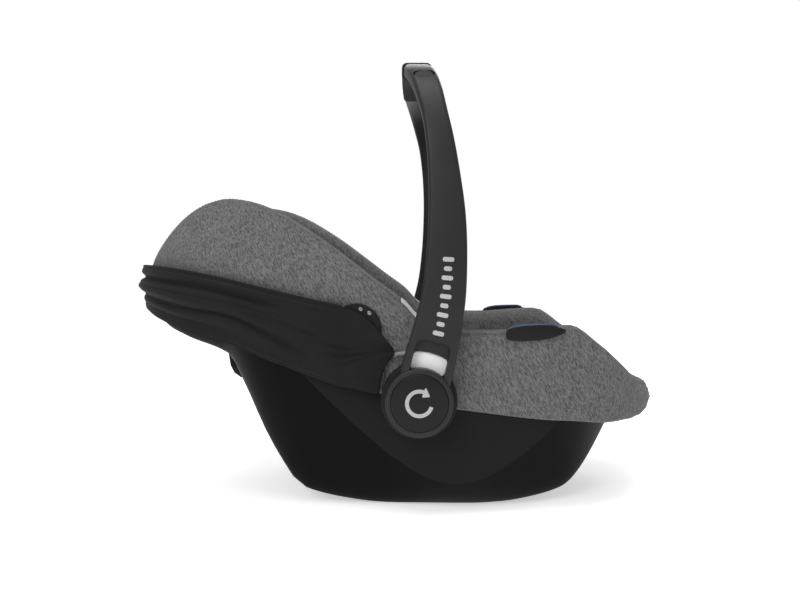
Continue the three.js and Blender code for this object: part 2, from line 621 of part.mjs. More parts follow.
function makeCanopy() {
  const { half, head, thick } = CANOPY;
  const [front, middle] = [bowLine(FRONT_BOW_SLOPE), bowLine(MIDDLE_BOW_SLOPE)];
  add("canopy_front_bow", makeBow(180.8, -324.3, FRONT_BOW_SLOPE), shellPlastic);
  add("canopy_middle_bow", makeBow(182.6, -326.1, MIDDLE_BOW_SLOPE), shellPlastic);
  add("canopy_front_panel", band(half, head, thick, -60, (x) => front(x) - 4, TOP_EDGE), canopyCloth);
  const underFront = (x) => front(x) - 4.8;
  add("canopy_middle_panel", band(half, head, thick, -98, (x) => middle(x) - 4, underFront), canopyCloth);
  const underMiddle = (x) => middle(x) - 4.8;
  add("canopy_rear_panel", band(half, head, thick, -18, HEM, underMiddle), canopyCloth);
  const centre = new THREE.Vector3(CANOPY.x, 0, CANOPY.z);
  for (const { name, sign } of SIDES) {
    let sidePlate = disc(30.5, COVER.half + GAP, 180.4, sign, centre, 48);
    RIVETS.forEach(([x, z], i) => {
      const place = new THREE.Vector3(x, 0, z);
      sidePlate = sidePlate.subtract(disc(2.6 + GAP, COVER.half, 181, sign, place, 16));
      add(`canopy_rivet_${name}_${i + 1}`, disc(2.6, COVER.half + GAP, 180.5, sign, place, 16), steel);
    });
    add(`canopy_side_plate_${name}`, sidePlate, shellPlastic);
    add(`canopy_pivot_pin_${name}`, disc(3, 180.8, 184, sign, centre, 16), steel);
  }
}

// ---------- belt guides, rim tabs and rear hook ----------
const GUIDE = { inner: 151, wall: 170, outer: 181, seat: 213 };
function guideShape(grow) {
  const points = [
    [129, 209], [131.5, 221.5], [150, 225], [182, 226], [201, 219.5], [190, 212], [172, 208], [150, 206.5],
  ];
  const middle = new THREE.Vector2(160, 216);
  const moved = points.map(([x, z]) => {
    const point = new THREE.Vector2(x, z);
    return point.add(point.clone().sub(middle).normalize().multiplyScalar(grow));
  });
  return new THREE.Shape(moved);
}
function guideNotch(sign) {
  return plate(guideShape(1.2), GUIDE.inner - 1, GUIDE.outer + 9, sign);
}

// A boat-shaped wall on the outer side of the rim; the belt lies on the low step behind it.
function makeGuides() {
  for (const { name, sign } of SIDES) {
    const [near, far] = [Math.min(sign * 140, sign * GUIDE.wall), Math.max(sign * 140, sign * GUIDE.wall)];
    const channel = boxBetween(new THREE.Vector3(120, near, GUIDE.seat), new THREE.Vector3(210, far, 240));
    const guide = plate(guideShape(0), GUIDE.inner, GUIDE.outer, sign);
    add(`belt_guide_${name}`, guide.subtract(channel), shellPlastic);
    const xs = [139, 150, 166, 182];
    const mark = strap(xs.map((x) => [x, guideTop(x)]), 2.4, 0.8, sign * (GUIDE.wall + 1.6));
    add(`belt_mark_${name}`, mark, bluePlastic);
  }
}
const guideTop = (x) => THREE.MathUtils.mapLinear(x, 139, 182, 225, 227.6);

function makeRimTabs() {
  for (const { name, sign } of SIDES) {
    const slope = (CREST(34) - CREST(4)) / 30;
    const path = [18, 33].map((x) => [x, CREST(4) + slope * (x - 4) + 1.4]);
    add(`rim_tab_${name}`, strap(path, 20, 1.6, sign * 160), greyPlastic);
  }
}

function makeRearHook() {
  const outline = [
    [-222, 180], [-219, 160], [-214, 150], [-205, 143.5], [-178, 141], [-193, 180], [-207, 180],
    [-204.5, 161], [-211.5, 161], [-215.5, 180],
  ].map(([x, z]) => new THREE.Vector2(x, z));
  const hook = plate(new THREE.Shape(outline), -38, 38, 1);
  add("rear_belt_hook", hook.subtract(hull(-1, above)), shellPlastic);
}

makeShell();
makeFoam();
makeCover();
makeInsert();
makeHeadSupport();
makeShoulderStraps();
makeBuckle();
makeCrotchStrap();
makeAdjuster();
makeYoke();
makePivots();
makeHandle();
makeCanopy();
makeGuides();
makeRimTabs();
makeRearHook();

export default car_seat;
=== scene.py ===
"""The looks of an infant car seat: rocking shell, carrying handle, padded cover, folded canopy and harness.

Lengths are in millimetres in the part's own frame (+X to the child's feet, +Z up, the child's right side
at -Y) and become metres where a mesh is made. Pieces on both sides are made by a loop over SIDES.
"""
import math

import bmesh
import bpy
import numpy as np
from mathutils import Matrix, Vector, noise
from mathutils.bvhtree import BVHTree


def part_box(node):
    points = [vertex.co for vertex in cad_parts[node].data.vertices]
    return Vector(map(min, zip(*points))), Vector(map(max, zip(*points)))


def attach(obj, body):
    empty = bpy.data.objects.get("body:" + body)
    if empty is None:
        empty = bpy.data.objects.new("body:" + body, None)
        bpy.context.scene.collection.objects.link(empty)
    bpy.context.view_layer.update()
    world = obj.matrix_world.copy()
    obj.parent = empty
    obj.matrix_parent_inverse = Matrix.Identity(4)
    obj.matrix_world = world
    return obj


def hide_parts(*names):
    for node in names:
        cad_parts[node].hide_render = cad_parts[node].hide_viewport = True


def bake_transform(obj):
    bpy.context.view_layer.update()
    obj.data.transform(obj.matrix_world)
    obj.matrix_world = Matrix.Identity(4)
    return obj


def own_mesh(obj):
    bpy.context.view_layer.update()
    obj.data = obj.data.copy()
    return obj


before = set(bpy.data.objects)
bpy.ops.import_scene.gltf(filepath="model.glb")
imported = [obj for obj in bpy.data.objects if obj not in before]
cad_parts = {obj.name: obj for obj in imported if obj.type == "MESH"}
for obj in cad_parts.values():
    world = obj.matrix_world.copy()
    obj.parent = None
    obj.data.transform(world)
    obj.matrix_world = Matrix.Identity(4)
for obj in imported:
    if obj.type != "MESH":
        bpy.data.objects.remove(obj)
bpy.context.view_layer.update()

MM = 0.001
SIDES = (("right", -1), ("left", 1))
COLLECTION = bpy.context.scene.collection


# ---------- shape of the tub, as in the CAD ----------
PLAN_POWER = 2.4
HEAD_START, FOOT_START = -110, 120
SHELL = {"half": 172, "head": -316, "foot": 289}
COVER = {"half": 178, "head": -322, "foot": 332}
SEAT = {"half": 141, "head": -288, "foot": 297}
SEAT_CORNER = 70
SPINE = (-190, 200)
BASE_SHARE = 0.69
PIVOT = (29, 140)
CANOPY = {"x": -45, "z": 220, "half": 185.6, "head": -327.4, "power": 2.55}
BOW_SLOPE = 0.2055
PLATE = {"radius": 30.5, "low": 178.3, "high": 180.4}


def unit(vectors):
    """The same directions, each of length 1."""
    return vectors / np.linalg.norm(vectors, axis=-1, keepdims=True)


def smooth_step(low, high, value):
    t = np.clip((value - low) / (high - low), 0, 1)
    return t * t * (3 - 2 * t)


def hermite(knots, values, slopes, places):
    """A smooth curve's values at some places, from its values and slopes at sorted knots."""
    places = np.clip(places, knots[0], knots[-1])
    i = np.clip(np.searchsorted(knots, places) - 1, 0, len(knots) - 2)
    h = knots[i + 1] - knots[i]
    t = (places - knots[i]) / h
    if values.ndim > 1:
        h, t = h[:, None], t[:, None]
    near = (2 * t**3 - 3 * t**2 + 1) * values[i] + (t**3 - 2 * t**2 + t) * h * slopes[i]
    far = (3 * t**2 - 2 * t**3) * values[i + 1] + (t**3 - t**2) * h * slopes[i + 1]
    return near + far


def smooth_curve(points):
    """A smooth function of x through points sorted by x, which never overshoots them."""
    xs, zs = np.array(points, float).T
    slope = np.diff(zs) / np.diff(xs)
    tangent = [slope[0]]
    for a, b in zip(slope[:-1], slope[1:]):
        tangent.append(0 if a * b <= 0 else 2 * a * b / (a + b))
    tangent = np.array(tangent + [slope[-1]])
    return lambda x: hermite(xs, zs, tangent, x)


def resampled(points, count, measured=None):
    """Evenly spaced points along a smoothed line. Its length counts the first measured columns, or all."""
    points = np.asarray(points, float)
    steps = np.linalg.norm(np.diff(points[:, :measured], axis=0), axis=1)
    run = np.concatenate([[0], np.cumsum(steps)])
    return hermite(run, points, np.gradient(points, run, axis=0), np.linspace(0, run[-1], count))


def softened_line(points, count, reach):
    """Points spread along a line of points, its corners softened over reach neighbours each way."""
    spots, knots = np.linspace(0, 1, count), np.linspace(0, 1, len(points))
    line = np.column_stack([np.interp(spots, knots, column) for column in zip(*points)])
    kernel = np.ones(2 * reach + 1) / (2 * reach + 1)
    for k in range(line.shape[1]):
        line[reach:-reach, k] = np.convolve(line[:, k], kernel, mode="valid")
    return line


def circle(count):
    """Evenly spaced points round a circle of radius 1."""
    angles = np.linspace(0, 2 * math.pi, count, endpoint=False)
    return np.column_stack([np.cos(angles), np.sin(angles)])


def superellipse(angles, power):
    """Points of a rounded square that reaches 1 from its middle each way, at some angles."""
    plain = np.column_stack([np.cos(angles), np.sin(angles)])
    return np.sign(plain) * np.abs(plain) ** (2 / power)


def mirrored(right):
    """Points from the right side to the middle plane, and back along the left side."""
    return np.concatenate([right, right[-2::-1] * [1, -1, 1][:right.shape[-1]]])


def rocker(x):
    return max(0, abs(x - 49) - 45) ** 2 / 722


KEEL = smooth_curve([
    (-316, 262), (-310, 240), (-300, 221), (-262, 204), (-206, 184), (-187, 150), (-159, 88), (-137, 49),
    (-120, 25), (-106, rocker(-106)), (-60, rocker(-60)), (-20, rocker(-20)), (4, 0), (94, 0),
    (130, rocker(130)), (170, rocker(170)), (206, rocker(206)), (217, 24), (273, 97), (289, 118),
])
FLOOR = smooth_curve([
    (-288, 305), (-282, 281), (-268, 262), (-247, 243), (-200, 207), (-150, 170), (-100, 140), (-50, 112),
    (0, 90), (50, 77), (100, 75), (150, 88), (200, 107), (250, 124), (282, 134), (297, 146),
])
CREST = smooth_curve([
    (-322, 284), (-310, 293), (-302, 305), (-286, 322), (-270, 338), (-247, 356), (-224, 367), (-198, 372),
    (-174, 369), (-144, 359), (-94, 330), (-20, 275), (11, 252), (30, 232), (60, 217), (120, 217),
    (207, 222), (244, 199), (284, 165), (298, 152), (318, 144), (332, 128),
])
SKIRT = smooth_curve([
    (-322, 262), (-300, 250), (-200, 236), (-120, 215), (-60, 180), (-30, 150), (-12, 145), (10, 135),
    (70, 128), (137, 119.5), (176, 115), (210, 112.5), (262, 107), (300, 108), (320, 113), (332, 121),
])
RIM = smooth_curve([
    (-316, 276), (-286, 291), (-200, 300), (-94, 262), (-20, 225), (60, 203), (95, 190), (130, 155),
    (195, 132), (262, 122), (289, 122),
])
TOP_EDGE = smooth_curve([(-331.5, 287), (-322, 292), (-307, 293), (-57, 247.5)])
HEM = smooth_curve([
    (-331.5, 243), (-320, 241), (-297, 233), (-258, 220), (-214, 208), (-188, 202), (-154, 188), (-112, 172),
    (-78, 160), (-40, 147), (-16, 143),
])


def crease(x):
    """Height of the sharp U-shaped lower edge of the shell's flat side."""
    return 36.5 + 88.4 * (np.hypot(1, (x - 73) / 80) - 1)


def lean(z):
    """How far the head wings lean inward at a height."""
    return 0.18 * np.maximum(0, z - 285)


def leaned(points):
    """Points of the tub with the lean of the wings, which dies out towards the middle plane."""
    shift = lean(points[..., 2]) * np.minimum(1, np.abs(points[..., 1]) / 60)
    points[..., 1] -= np.sign(points[..., 1]) * shift
    return points


def plan_side(half, head, foot, ends=26, straight=26):
    """Points (x, y) of one side of a plan with straight sides and rounded ends, from head to foot."""
    across, along = superellipse(np.linspace(0, math.pi / 2, ends + 1)[1:], PLAN_POWER).T
    head_part = np.column_stack([HEAD_START + (head - HEAD_START) * along, half * across])[::-1]
    foot_part = np.column_stack([FOOT_START + (foot - FOOT_START) * along, half * across])
    middle = np.linspace(HEAD_START, FOOT_START, straight)
    return np.vstack([head_part, np.column_stack([middle, np.full(straight, half)]), foot_part])


def plan_loop(half, head, foot):
    """The closed plan: down the right side from the head to the foot, and back up the left side."""
    side = plan_side(half, head, foot)
    return np.vstack([side * [1, -1], side[-2:0:-1]])


# ---------- meshes ----------
def mesh_object(name, points, faces, smooth=True):
    mesh = bpy.data.meshes.new(name)
    mesh.from_pydata((np.asarray(points, float).reshape(-1, 3) * MM).tolist(), [], [list(f) for f in faces])
    mesh.validate()
    mesh.polygons.foreach_set("use_smooth", [smooth] * len(mesh.polygons))
    obj = bpy.data.objects.new(name, mesh)
    COLLECTION.objects.link(obj)
    return obj


def grid_faces(rows, columns, around=False, caps=False):
    """Quads between rows of points. around joins each row's end to its start, caps closes both end rows."""
    last = columns if around else columns - 1
    faces = []
    for r in range(rows - 1):
        for c in range(last):
            a, b = r * columns + c, r * columns + (c + 1) % columns
            faces.append((a, b, b + columns, a + columns))
    if caps:
        faces.append(tuple(range(columns)))
        faces.append(tuple(range(rows * columns - 1, (rows - 1) * columns - 1, -1)))
    return faces


def tidy(obj, merge=0.02, angle=None):
    """Joins points closer than merge, turns the faces outward, and marks edges sharper than angle."""
    work = bmesh.new()
    work.from_mesh(obj.data)
    bmesh.ops.remove_doubles(work, verts=work.verts, dist=merge * MM)
    bmesh.ops.recalc_face_normals(work, faces=work.faces)
    if angle is not None:
        for edge in work.edges:
            if edge.is_manifold and edge.calc_face_angle() > math.radians(angle):
                edge.smooth = False
    work.to_mesh(obj.data)
    work.free()
    return obj


def grid(name, rows, around=False, caps=False):
    """A surface through rows of points."""
    rows = np.asarray(rows, float)
    return tidy(mesh_object(name, rows, grid_faces(*rows.shape[:2], around, caps)))


def apply_modifiers(obj):
    """Replaces the mesh by what its modifiers make of it."""
    graph = bpy.context.evaluated_depsgraph_get()
    mesh = bpy.data.meshes.new_from_object(obj.evaluated_get(graph))
    obj.modifiers.clear()
    old = obj.data
    obj.data = mesh
    bpy.data.meshes.remove(old)
    return obj


def modified(obj, kind, **settings):
    modifier = obj.modifiers.new(kind.lower(), kind)
    for key, value in settings.items():
        setattr(modifier, key, value)
    return apply_modifiers(obj)


def thickened(obj, thickness):
    """Gives a sheet a thickness, in millimetres, half on each side."""
    return modified(obj, "SOLIDIFY", thickness=thickness * MM, offset=0, use_even_offset=True)


def smoothed(obj):
    obj.data.polygons.foreach_set("use_smooth", [True] * len(obj.data.polygons))
    return obj


def bevelled(obj, width, segments=3, angle=30):
    made = modified(
        obj, "BEVEL", width=width * MM, segments=segments, limit_method="ANGLE",
        angle_limit=math.radians(angle), harden_normals=False,
    )
    return tidy(smoothed(made), merge=0.001, angle=40)


def joined(name, objects):
    """One object from several, which don't need to touch."""
    base = objects[0]
    work = bmesh.new()
    for obj in objects:
        work.from_mesh(obj.data)
    work.to_mesh(base.data)
    work.free()
    for obj in objects[1:]:
        bpy.data.objects.remove(obj)
    base.name = name
    return base


def boolean(obj, cutter, operation="DIFFERENCE"):
    modified(obj, "BOOLEAN", object=cutter, operation=operation, solver="EXACT")
    bpy.data.objects.remove(cutter)
    return obj


def turned(name, profile, centre, sign, segments=96):
    """A solid turned about the Y direction through centre (x, z): profile holds (distance, radius) pairs."""
    rows = []
    for distance, radius in profile:
        x, z = (radius * circle(segments) + centre).T
        rows.append(np.column_stack([x, np.full(segments, sign * distance), z]))
    return tidy(grid(name, rows, around=True, caps=True), angle=35)


def rounded_disc(name, radius, low, high, centre, sign, edge=1.0, segments=96):
    """A disc between two distances from the middle plane, with a rounded outer edge."""
    arc = [(high - edge * (1 - math.sin(a)), radius - edge * (1 - math.cos(a)))
           for a in np.linspace(0, math.pi / 2, 6)]
    profile = [(low, 0.01), (low, radius), *arc, (high, 0.01)]
    return turned(name, profile, centre, sign, segments)


def prism(name, outline, low, high, sign=1):
    """An outline of (x, z) points, extruded between two distances from the middle plane."""
    rows = [[(x, sign * distance, z) for x, z in outline] for distance in (low, high)]
    return grid(name, rows, around=True, caps=True)


def extruded(name, outline, low, high, sign=1, edge=1.0, segments=3):
    """A prism with rounded edges."""
    return bevelled(prism(name, outline, low, high, sign), edge, segments)


def rounded(outline, radius, steps=6):
    """An outline with each corner replaced by an arc."""
    points = [Vector(p) for p in outline]
    made = []
    for i, corner in enumerate(points):
        before, after = points[i - 1] - corner, points[(i + 1) % len(points)] - corner
        half_angle = before.angle(after) / 2
        reach = min(radius / math.tan(half_angle), 0.48 * before.length, 0.48 * after.length)
        start, end = corner + before.normalized() * reach, corner + after.normalized() * reach
        for t in np.linspace(0, 1, steps):
            made.append(tuple(start * (1 - t) ** 2 + corner * 2 * t * (1 - t) + end * t**2))
    return made


def frames_along(path):
    """Directions along a path of points: tangents, and two more at right angles, starting near +Z."""
    tangent = unit(np.gradient(path, axis=0))
    up = np.array([0.0, 0.0, 1.0]) if abs(tangent[0][2]) < 0.9 else np.array([1.0, 0.0, 0.0])
    ups = []
    for t in tangent:
        up = unit(up - t * (up @ t))
        ups.append(up)
    ups = np.array(ups)
    return tangent, np.cross(tangent, ups), ups


def tube(name, path, radius, sides=10):
    """A round tube along a path, radius in millimetres."""
    path = np.asarray(path, float)
    _, side, up = frames_along(path)
    rows = [p + radius * circle(sides) @ np.array([s, u]) for p, s, u in zip(path, side, up)]
    return grid(name, rows, around=True, caps=True)


def stitches(name, path, normals, length=3.2, gap=1.6, radius=0.32, lift=0.1):
    """A row of thread stitches along a path on a surface with those outward normals."""
    path, normals = np.asarray(path, float), np.asarray(normals, float)
    run = np.concatenate([[0], np.cumsum(np.linalg.norm(np.diff(path, axis=0), axis=1))])
    sides = 5
    sizes, depths = (0.3, 0.9, 1, 0.9, 0.3), (-0.5, 0.3, 0.8, 0.3, -0.5)
    shape = grid_faces(len(sizes), sides, around=True, caps=True)
    points, faces = [], []
    for start in np.arange(0, run[-1] - length, length + gap):
        faces += [tuple(len(points) + i for i in face) for face in shape]
        spots = start + length * np.array([0, 0.12, 0.5, 0.88, 1])
        centres = np.column_stack([np.interp(spots, run, path[:, k]) for k in range(3)])
        outs = unit(np.column_stack([np.interp(spots, run, normals[:, k]) for k in range(3)]))
        along = unit(centres[-1] - centres[0])
        for centre, out, size, depth in zip(centres, outs, sizes, depths):
            middle = centre + out * (lift + radius * depth)
            points += list(middle + radius * size * circle(sides) @ np.array([np.cross(along, out), out]))
    return tidy(mesh_object(name, points, faces), merge=0.001)


# ---------- materials ----------
class Look:
    """A node material, with short calls for the nodes that it uses."""

    def __init__(self, name, roughness=0.5, metallic=0.0, **shader):
        self.material = bpy.data.materials.new(name)
        self.material.use_nodes = True
        self.tree = self.material.node_tree
        self.shader = self.tree.nodes["Principled BSDF"]
        self.shader.inputs["Roughness"].default_value = roughness
        self.shader.inputs["Metallic"].default_value = metallic
        for key, value in shader.items():
            self.shader.inputs[key.replace("_", " ")].default_value = value
        self.place = self.node("ShaderNodeTexCoord").outputs["Object"]

    def node(self, kind, inputs=None, **settings):
        made = self.tree.nodes.new(kind)
        for key, value in settings.items():
            setattr(made, key, value)
        for key, value in (inputs or {}).items():
            if isinstance(value, bpy.types.NodeSocket):
                self.tree.links.new(value, made.inputs[key])
            else:
                made.inputs[key].default_value = value
        return made

    def moved(self, turn=(0, 0, 0), scale=(1, 1, 1)):
        """The object's own coordinates, turned and then scaled."""
        first = self.node("ShaderNodeMapping", {"Vector": self.place, "Rotation": turn})
        return self.node("ShaderNodeMapping", {"Vector": first.outputs[0], "Scale": scale}).outputs[0]

    def noise(self, scale, detail=3, rough=0.55, where=None, distortion=0.0):
        return self.node("ShaderNodeTexNoise", {
            "Vector": where or self.place, "Scale": scale, "Detail": detail, "Roughness": rough,
            "Distortion": distortion}).outputs["Fac"]

    def wave(self, scale, where=None, direction="X", distortion=0.0, detail=0.0, detail_scale=1.0):
        return self.node("ShaderNodeTexWave", {
            "Vector": where or self.place, "Scale": scale, "Distortion": distortion, "Detail": detail,
            "Detail Scale": detail_scale}, bands_direction=direction).outputs["Fac"]

    def ramp(self, value, stops):
        """A colour ramp: stops hold (position, colour or grey level)."""
        made = self.node("ShaderNodeValToRGB", {"Fac": value})
        ramp = made.color_ramp
        while len(ramp.elements) < len(stops):
            ramp.elements.new(0.5)
        for element, (position, colour) in zip(ramp.elements, stops):
            element.position = position
            level = (colour,) * 3 if isinstance(colour, (int, float)) else colour
            element.color = (*level, 1)
        return made.outputs["Color"]

    def maths(self, operation, a, b=0.0):
        return self.node("ShaderNodeMath", {0: a, 1: b}, operation=operation).outputs[0]

    def mixed(self, share, a, b, kind="MIX"):
        made = self.node("ShaderNodeMix", data_type="RGBA", blend_type=kind)
        for socket, value in ((made.inputs[0], share), (made.inputs[6], a), (made.inputs[7], b)):
            if isinstance(value, bpy.types.NodeSocket):
                self.tree.links.new(value, socket)
            else:
                socket.default_value = value if isinstance(value, (int, float)) else (*value, 1)
        return made.outputs[2]

    def colour(self, socket):
        self.tree.links.new(socket, self.shader.inputs["Base Color"])

    def roughness(self, socket):
        self.tree.links.new(socket, self.shader.inputs["Roughness"])

    def bump(self, height, strength=0.4, distance=0.0004):
        made = self.node("ShaderNodeBump", {"Strength": strength, "Distance": distance, "Height": height})
        self.tree.links.new(made.outputs[0], self.shader.inputs["Normal"])


def grey(level, tint=(1, 1, 1)):
    return tuple(level * t for t in tint)


def moulded_plastic(name, level, roughness, grain=900, depth=0.25, tint=(1, 1, 1.02), coat=0.0, gloss=0.2):
    """Moulded plastic: a fine eroded grain, a slow change of gloss, and a faint change of colour."""
    look = Look(name, roughness=roughness, Coat_Weight=coat, Coat_Roughness=0.18, Specular_IOR_Level=gloss)
    slow = look.noise(14, detail=2)
    look.colour(look.ramp(slow, [(0.3, grey(level * 0.92, tint)), (0.7, grey(level * 1.08, tint))]))
    grains = look.noise(grain, detail=2, rough=0.6)
    wide = look.ramp(slow, [(0.25, roughness - 0.05), (0.75, roughness + 0.05)])
    fine = look.ramp(grains, [(0.3, roughness - 0.08), (0.7, roughness + 0.1)])
    look.roughness(look.mixed(0.35, wide, fine))
    look.bump(grains, strength=depth, distance=0.00008)
    return look.material


def melange_knit(name, dark, light, turn=0.5):
    """Melange knit: light and dark fibres in slanting flecks, over rows of small loops."""
    look = Look(name, roughness=0.95, Sheen_Weight=0.08, Sheen_Roughness=0.5, Specular_IOR_Level=0.1)
    slanted = look.moved(turn=(0, turn, 0), scale=(1, 1, 0.22))
    flecks = look.noise(700, detail=3, rough=0.8, where=slanted, distortion=0.3)
    fine = look.noise(1500, detail=2, rough=0.7, where=slanted)
    clouds = look.noise(60, detail=3)
    fibres = look.ramp(flecks, [(0.4, grey(dark)), (0.5, grey((dark + light) / 2)), (0.6, grey(light))])
    fibres = look.mixed(0.35, fibres, look.ramp(fine, [(0.35, grey(dark * 0.8)), (0.65, grey(light * 1.15))]))
    fibres = look.mixed(0.12, fibres, look.ramp(clouds, [(0.3, grey(dark)), (0.7, grey(light))]))
    look.colour(fibres)
    rows = look.wave(210, direction="Z", distortion=0.6, detail=1, detail_scale=3)
    loops = look.wave(260, direction="DIAGONAL", distortion=0.8, detail=1, detail_scale=3)
    height = look.maths("ADD", look.maths("MULTIPLY", rows, 0.5), look.maths("MULTIPLY", loops, 0.5))
    height = look.maths("ADD", height, look.maths("MULTIPLY", flecks, 0.8))
    look.bump(height, strength=0.55, distance=0.0005)
    return look.material


def woven_cloth(name, level, threads=420, depth=0.35):
    """Plain woven cloth: threads both ways, and a slow change of tone."""
    look = Look(name, roughness=0.85, Sheen_Weight=0.04, Sheen_Roughness=0.4, Specular_IOR_Level=0.12)
    warp = look.wave(threads, direction="Z", distortion=0.4, detail=1, detail_scale=4)
    weft = look.wave(threads, direction="X", distortion=0.4, detail=1, detail_scale=4)
    weave = look.maths("MAXIMUM", warp, weft)
    slow = look.ramp(look.noise(25, detail=3), [(0.3, grey(level * 0.85)), (0.7, grey(level * 1.15))])
    look.colour(look.mixed(0.4, slow, look.ramp(weave, [(0.2, grey(level * 0.6)), (0.9, grey(level * 1.3))])))
    unevenness = look.maths("MULTIPLY", look.noise(180, detail=2), 0.6)
    look.bump(look.maths("ADD", weave, unevenness), strength=depth, distance=0.0004)
    return look.material


def ribbed_webbing(name, level):
    """Harness webbing: a tight twill whose ribs cross the strap."""
    look = Look(name, roughness=0.7, Sheen_Weight=0.04, Specular_IOR_Level=0.15)
    ribs = look.wave(330, direction="X", distortion=0.2)
    twill = look.wave(420, direction="DIAGONAL", distortion=0.3)
    both = look.maths("ADD", look.maths("MULTIPLY", ribs, 0.6), look.maths("MULTIPLY", twill, 0.4))
    look.colour(look.ramp(both, [(0.2, grey(level * 0.6)), (0.9, grey(level * 1.4))]))
    look.bump(both, strength=0.6, distance=0.0005)
    return look.material


def brushed_steel(name, level=0.56):
    look = Look(name, roughness=0.3, metallic=1.0)
    strokes = look.noise(900, detail=2, where=look.moved(scale=(0.08, 1, 1)))
    look.colour(look.ramp(strokes, [(0.3, grey(level * 0.9)), (0.7, grey(level * 1.1))]))
    look.roughness(look.ramp(strokes, [(0.3, 0.24), (0.7, 0.38)]))
    look.bump(strokes, strength=0.1, distance=0.00005)
    return look.material


def soft_rubber(name, level):
    look = Look(name, roughness=0.75, Specular_IOR_Level=0.12)
    grains = look.noise(1100, detail=2)
    look.colour(look.ramp(look.noise(20), [(0.3, grey(level * 0.9)), (0.7, grey(level * 1.1))]))
    look.bump(grains, strength=0.35, distance=0.0001)
    return look.material


def foam_beads(name):
    look = Look(name, roughness=0.85, Subsurface_Weight=0.05)
    beads = look.node("ShaderNodeTexVoronoi", {"Vector": look.place, "Scale": 260.0}).outputs["Distance"]
    look.colour(look.ramp(beads, [(0.1, grey(0.8)), (0.6, grey(0.62))]))
    look.bump(look.maths("MULTIPLY", beads, -1), strength=0.5, distance=0.0006)
    return look.material


# The shell plastic, and a lighter copy of it for the flat side above the crease: the lighter copy is painted
# light where the flat side faces the lamps, so the part below the crease reads darker as painted shade.
SHELL_PLASTIC = moulded_plastic("shell plastic", 0.003, 0.48, gloss=0.05)
LIT_SIDE_PLASTIC = moulded_plastic("shell side painted lighter", 0.011, 0.5, gloss=0.06)
TRIM_PLASTIC = moulded_plastic("trim plastic", 0.01, 0.4, gloss=0.12)
HANDLE_PLASTIC = moulded_plastic("handle plastic", 0.017, 0.38, grain=1200, gloss=0.2)
BUTTON_PLASTIC = moulded_plastic("button plastic", 0.011, 0.32, grain=1200, depth=0.1, gloss=0.12)
WHITE_PLASTIC = moulded_plastic("white plastic", 0.86, 0.38, depth=0.08, tint=(1, 1, 1))
GREY_PLASTIC = moulded_plastic("grey plastic", 0.36, 0.42, depth=0.15)
TAB_CLOTH = woven_cloth("light tab cloth", 0.5, threads=900)
MARK_PLASTIC = moulded_plastic("printed marks", 0.36, 0.5, depth=0.05)
BLUE_PLASTIC = moulded_plastic("blue plastic", 0.16, 0.4, depth=0.1, tint=(0.3, 0.75, 1.6))
RED_PLASTIC = moulded_plastic("red plastic", 0.45, 0.28, depth=0.05, tint=(1, 0.05, 0.03), coat=0.4)
COVER_KNIT = melange_knit("grey melange knit", 0.026, 0.18)
PIPING_KNIT = melange_knit("light piping knit", 0.1, 0.34)
PAD_KNIT = melange_knit("dark melange knit", 0.022, 0.075, turn=0.9)
CANOPY_CLOTH = woven_cloth("canopy cloth", 0.011)
THREAD = woven_cloth("sewing thread", 0.16, threads=1500, depth=0.2)
DARK_THREAD = woven_cloth("dark sewing thread", 0.04, threads=1500, depth=0.2)
WEBBING = ribbed_webbing("black webbing", 0.014)
STEEL = brushed_steel("brushed steel")
RIVET_STEEL = brushed_steel("darkened steel", level=0.2)
RUBBER = soft_rubber("soft rubber", 0.014)
FOAM = foam_beads("foam beads")


def finish(obj, material, slot, body, *replaced):
    """Gives a piece its material and its body, and hides the CAD nodes that it stands for. The slot is not
    used.
    """
    obj.data.materials.clear()
    obj.data.materials.append(material)
    if body is not None:
        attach(obj, body)
    if replaced:
        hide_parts(*replaced)
    return obj


# ---------- shell ----------
def shell_section(x, half):
    """One side of the shell's outside at a station, from the middle of the bottom to the rim: (y, z)."""
    high = float(RIM(x))
    low = min(float(KEEL(x)), high - 2)
    ridge = float(crease(x))
    turn = max(low + 1, min(ridge, high - 1))
    base = BASE_SHARE * half

    def width(z):
        share = min(1, max(0, (z - low) / (ridge - low)))
        return base + (half - base) * share**0.6

    points = [(base * t, low) for t in (0, 0.25, 0.5, 0.75, 0.93)]
    for t in [*(np.linspace(0, 1, 18)[:-1] ** 1.8), 0.985, 0.996]:
        z = low + t * (turn - low)
        points.append((width(z), z))
    edge = width(turn)
    for t in (0, 0.01, 0.03, 0.12, 0.25, 0.4, 0.55, 0.7, 0.85, 1):
        points.append((edge + (half - edge) * min(1, t * 4), turn + t * (high - turn)))
    return points


def make_shell():
    side = plan_side(SHELL["half"], SHELL["head"], SHELL["foot"], ends=34, straight=30)
    rows = []
    for x, half in side:
        section = shell_section(x, half)
        right = [(x, -y, z) for y, z in section[::-1]]
        left = [(x, y, z) for y, z in section[1:]]
        rows.append(right + left)
    shell = grid("shell", leaned(np.array(rows)))
    modified(shell, "SOLIDIFY", thickness=4 * MM, offset=-1, use_even_offset=False)
    finish(tidy(shell, merge=0.001, angle=50), SHELL_PLASTIC, "shell_plastic", "shell", "outer_shell")
    # Faces on the flat side above the crease take the lighter copy: painted light, against painted shade on
    # the tucked-under part below.
    shell.data.materials.append(LIT_SIDE_PLASTIC)
    for face in shell.data.polygons:
        x, _, z = face.center / MM
        face.material_index = int(z > crease(x) + 0.2 and HEAD_START < x < SHELL["foot"] - 30)


# ---------- seat cover ----------
# The turned-in hem: how far each row lies inside the cover's outline and above its lower edge.
HEM_PROFILE = ((9, 13), (7, 5), (4.5, 0.8), (2, 0), (0.4, 1.6), (0, 4))
# The flat seam along the crest: distance beyond the outer shoulder and depth of each row.
SEAM_PROFILE = ((1.6, 0), (2.2, 1.5), (2.8, 0), (4.4, 0))
OUTSIDE_ROWS, SHOULDER_ROWS, SEAT_ROWS = 30, 12, 46
SEAM_ROW, SEAM_DENT = 5, 1.5
LINER = {"gap": 4, "thick": 5, "top_row": 8}


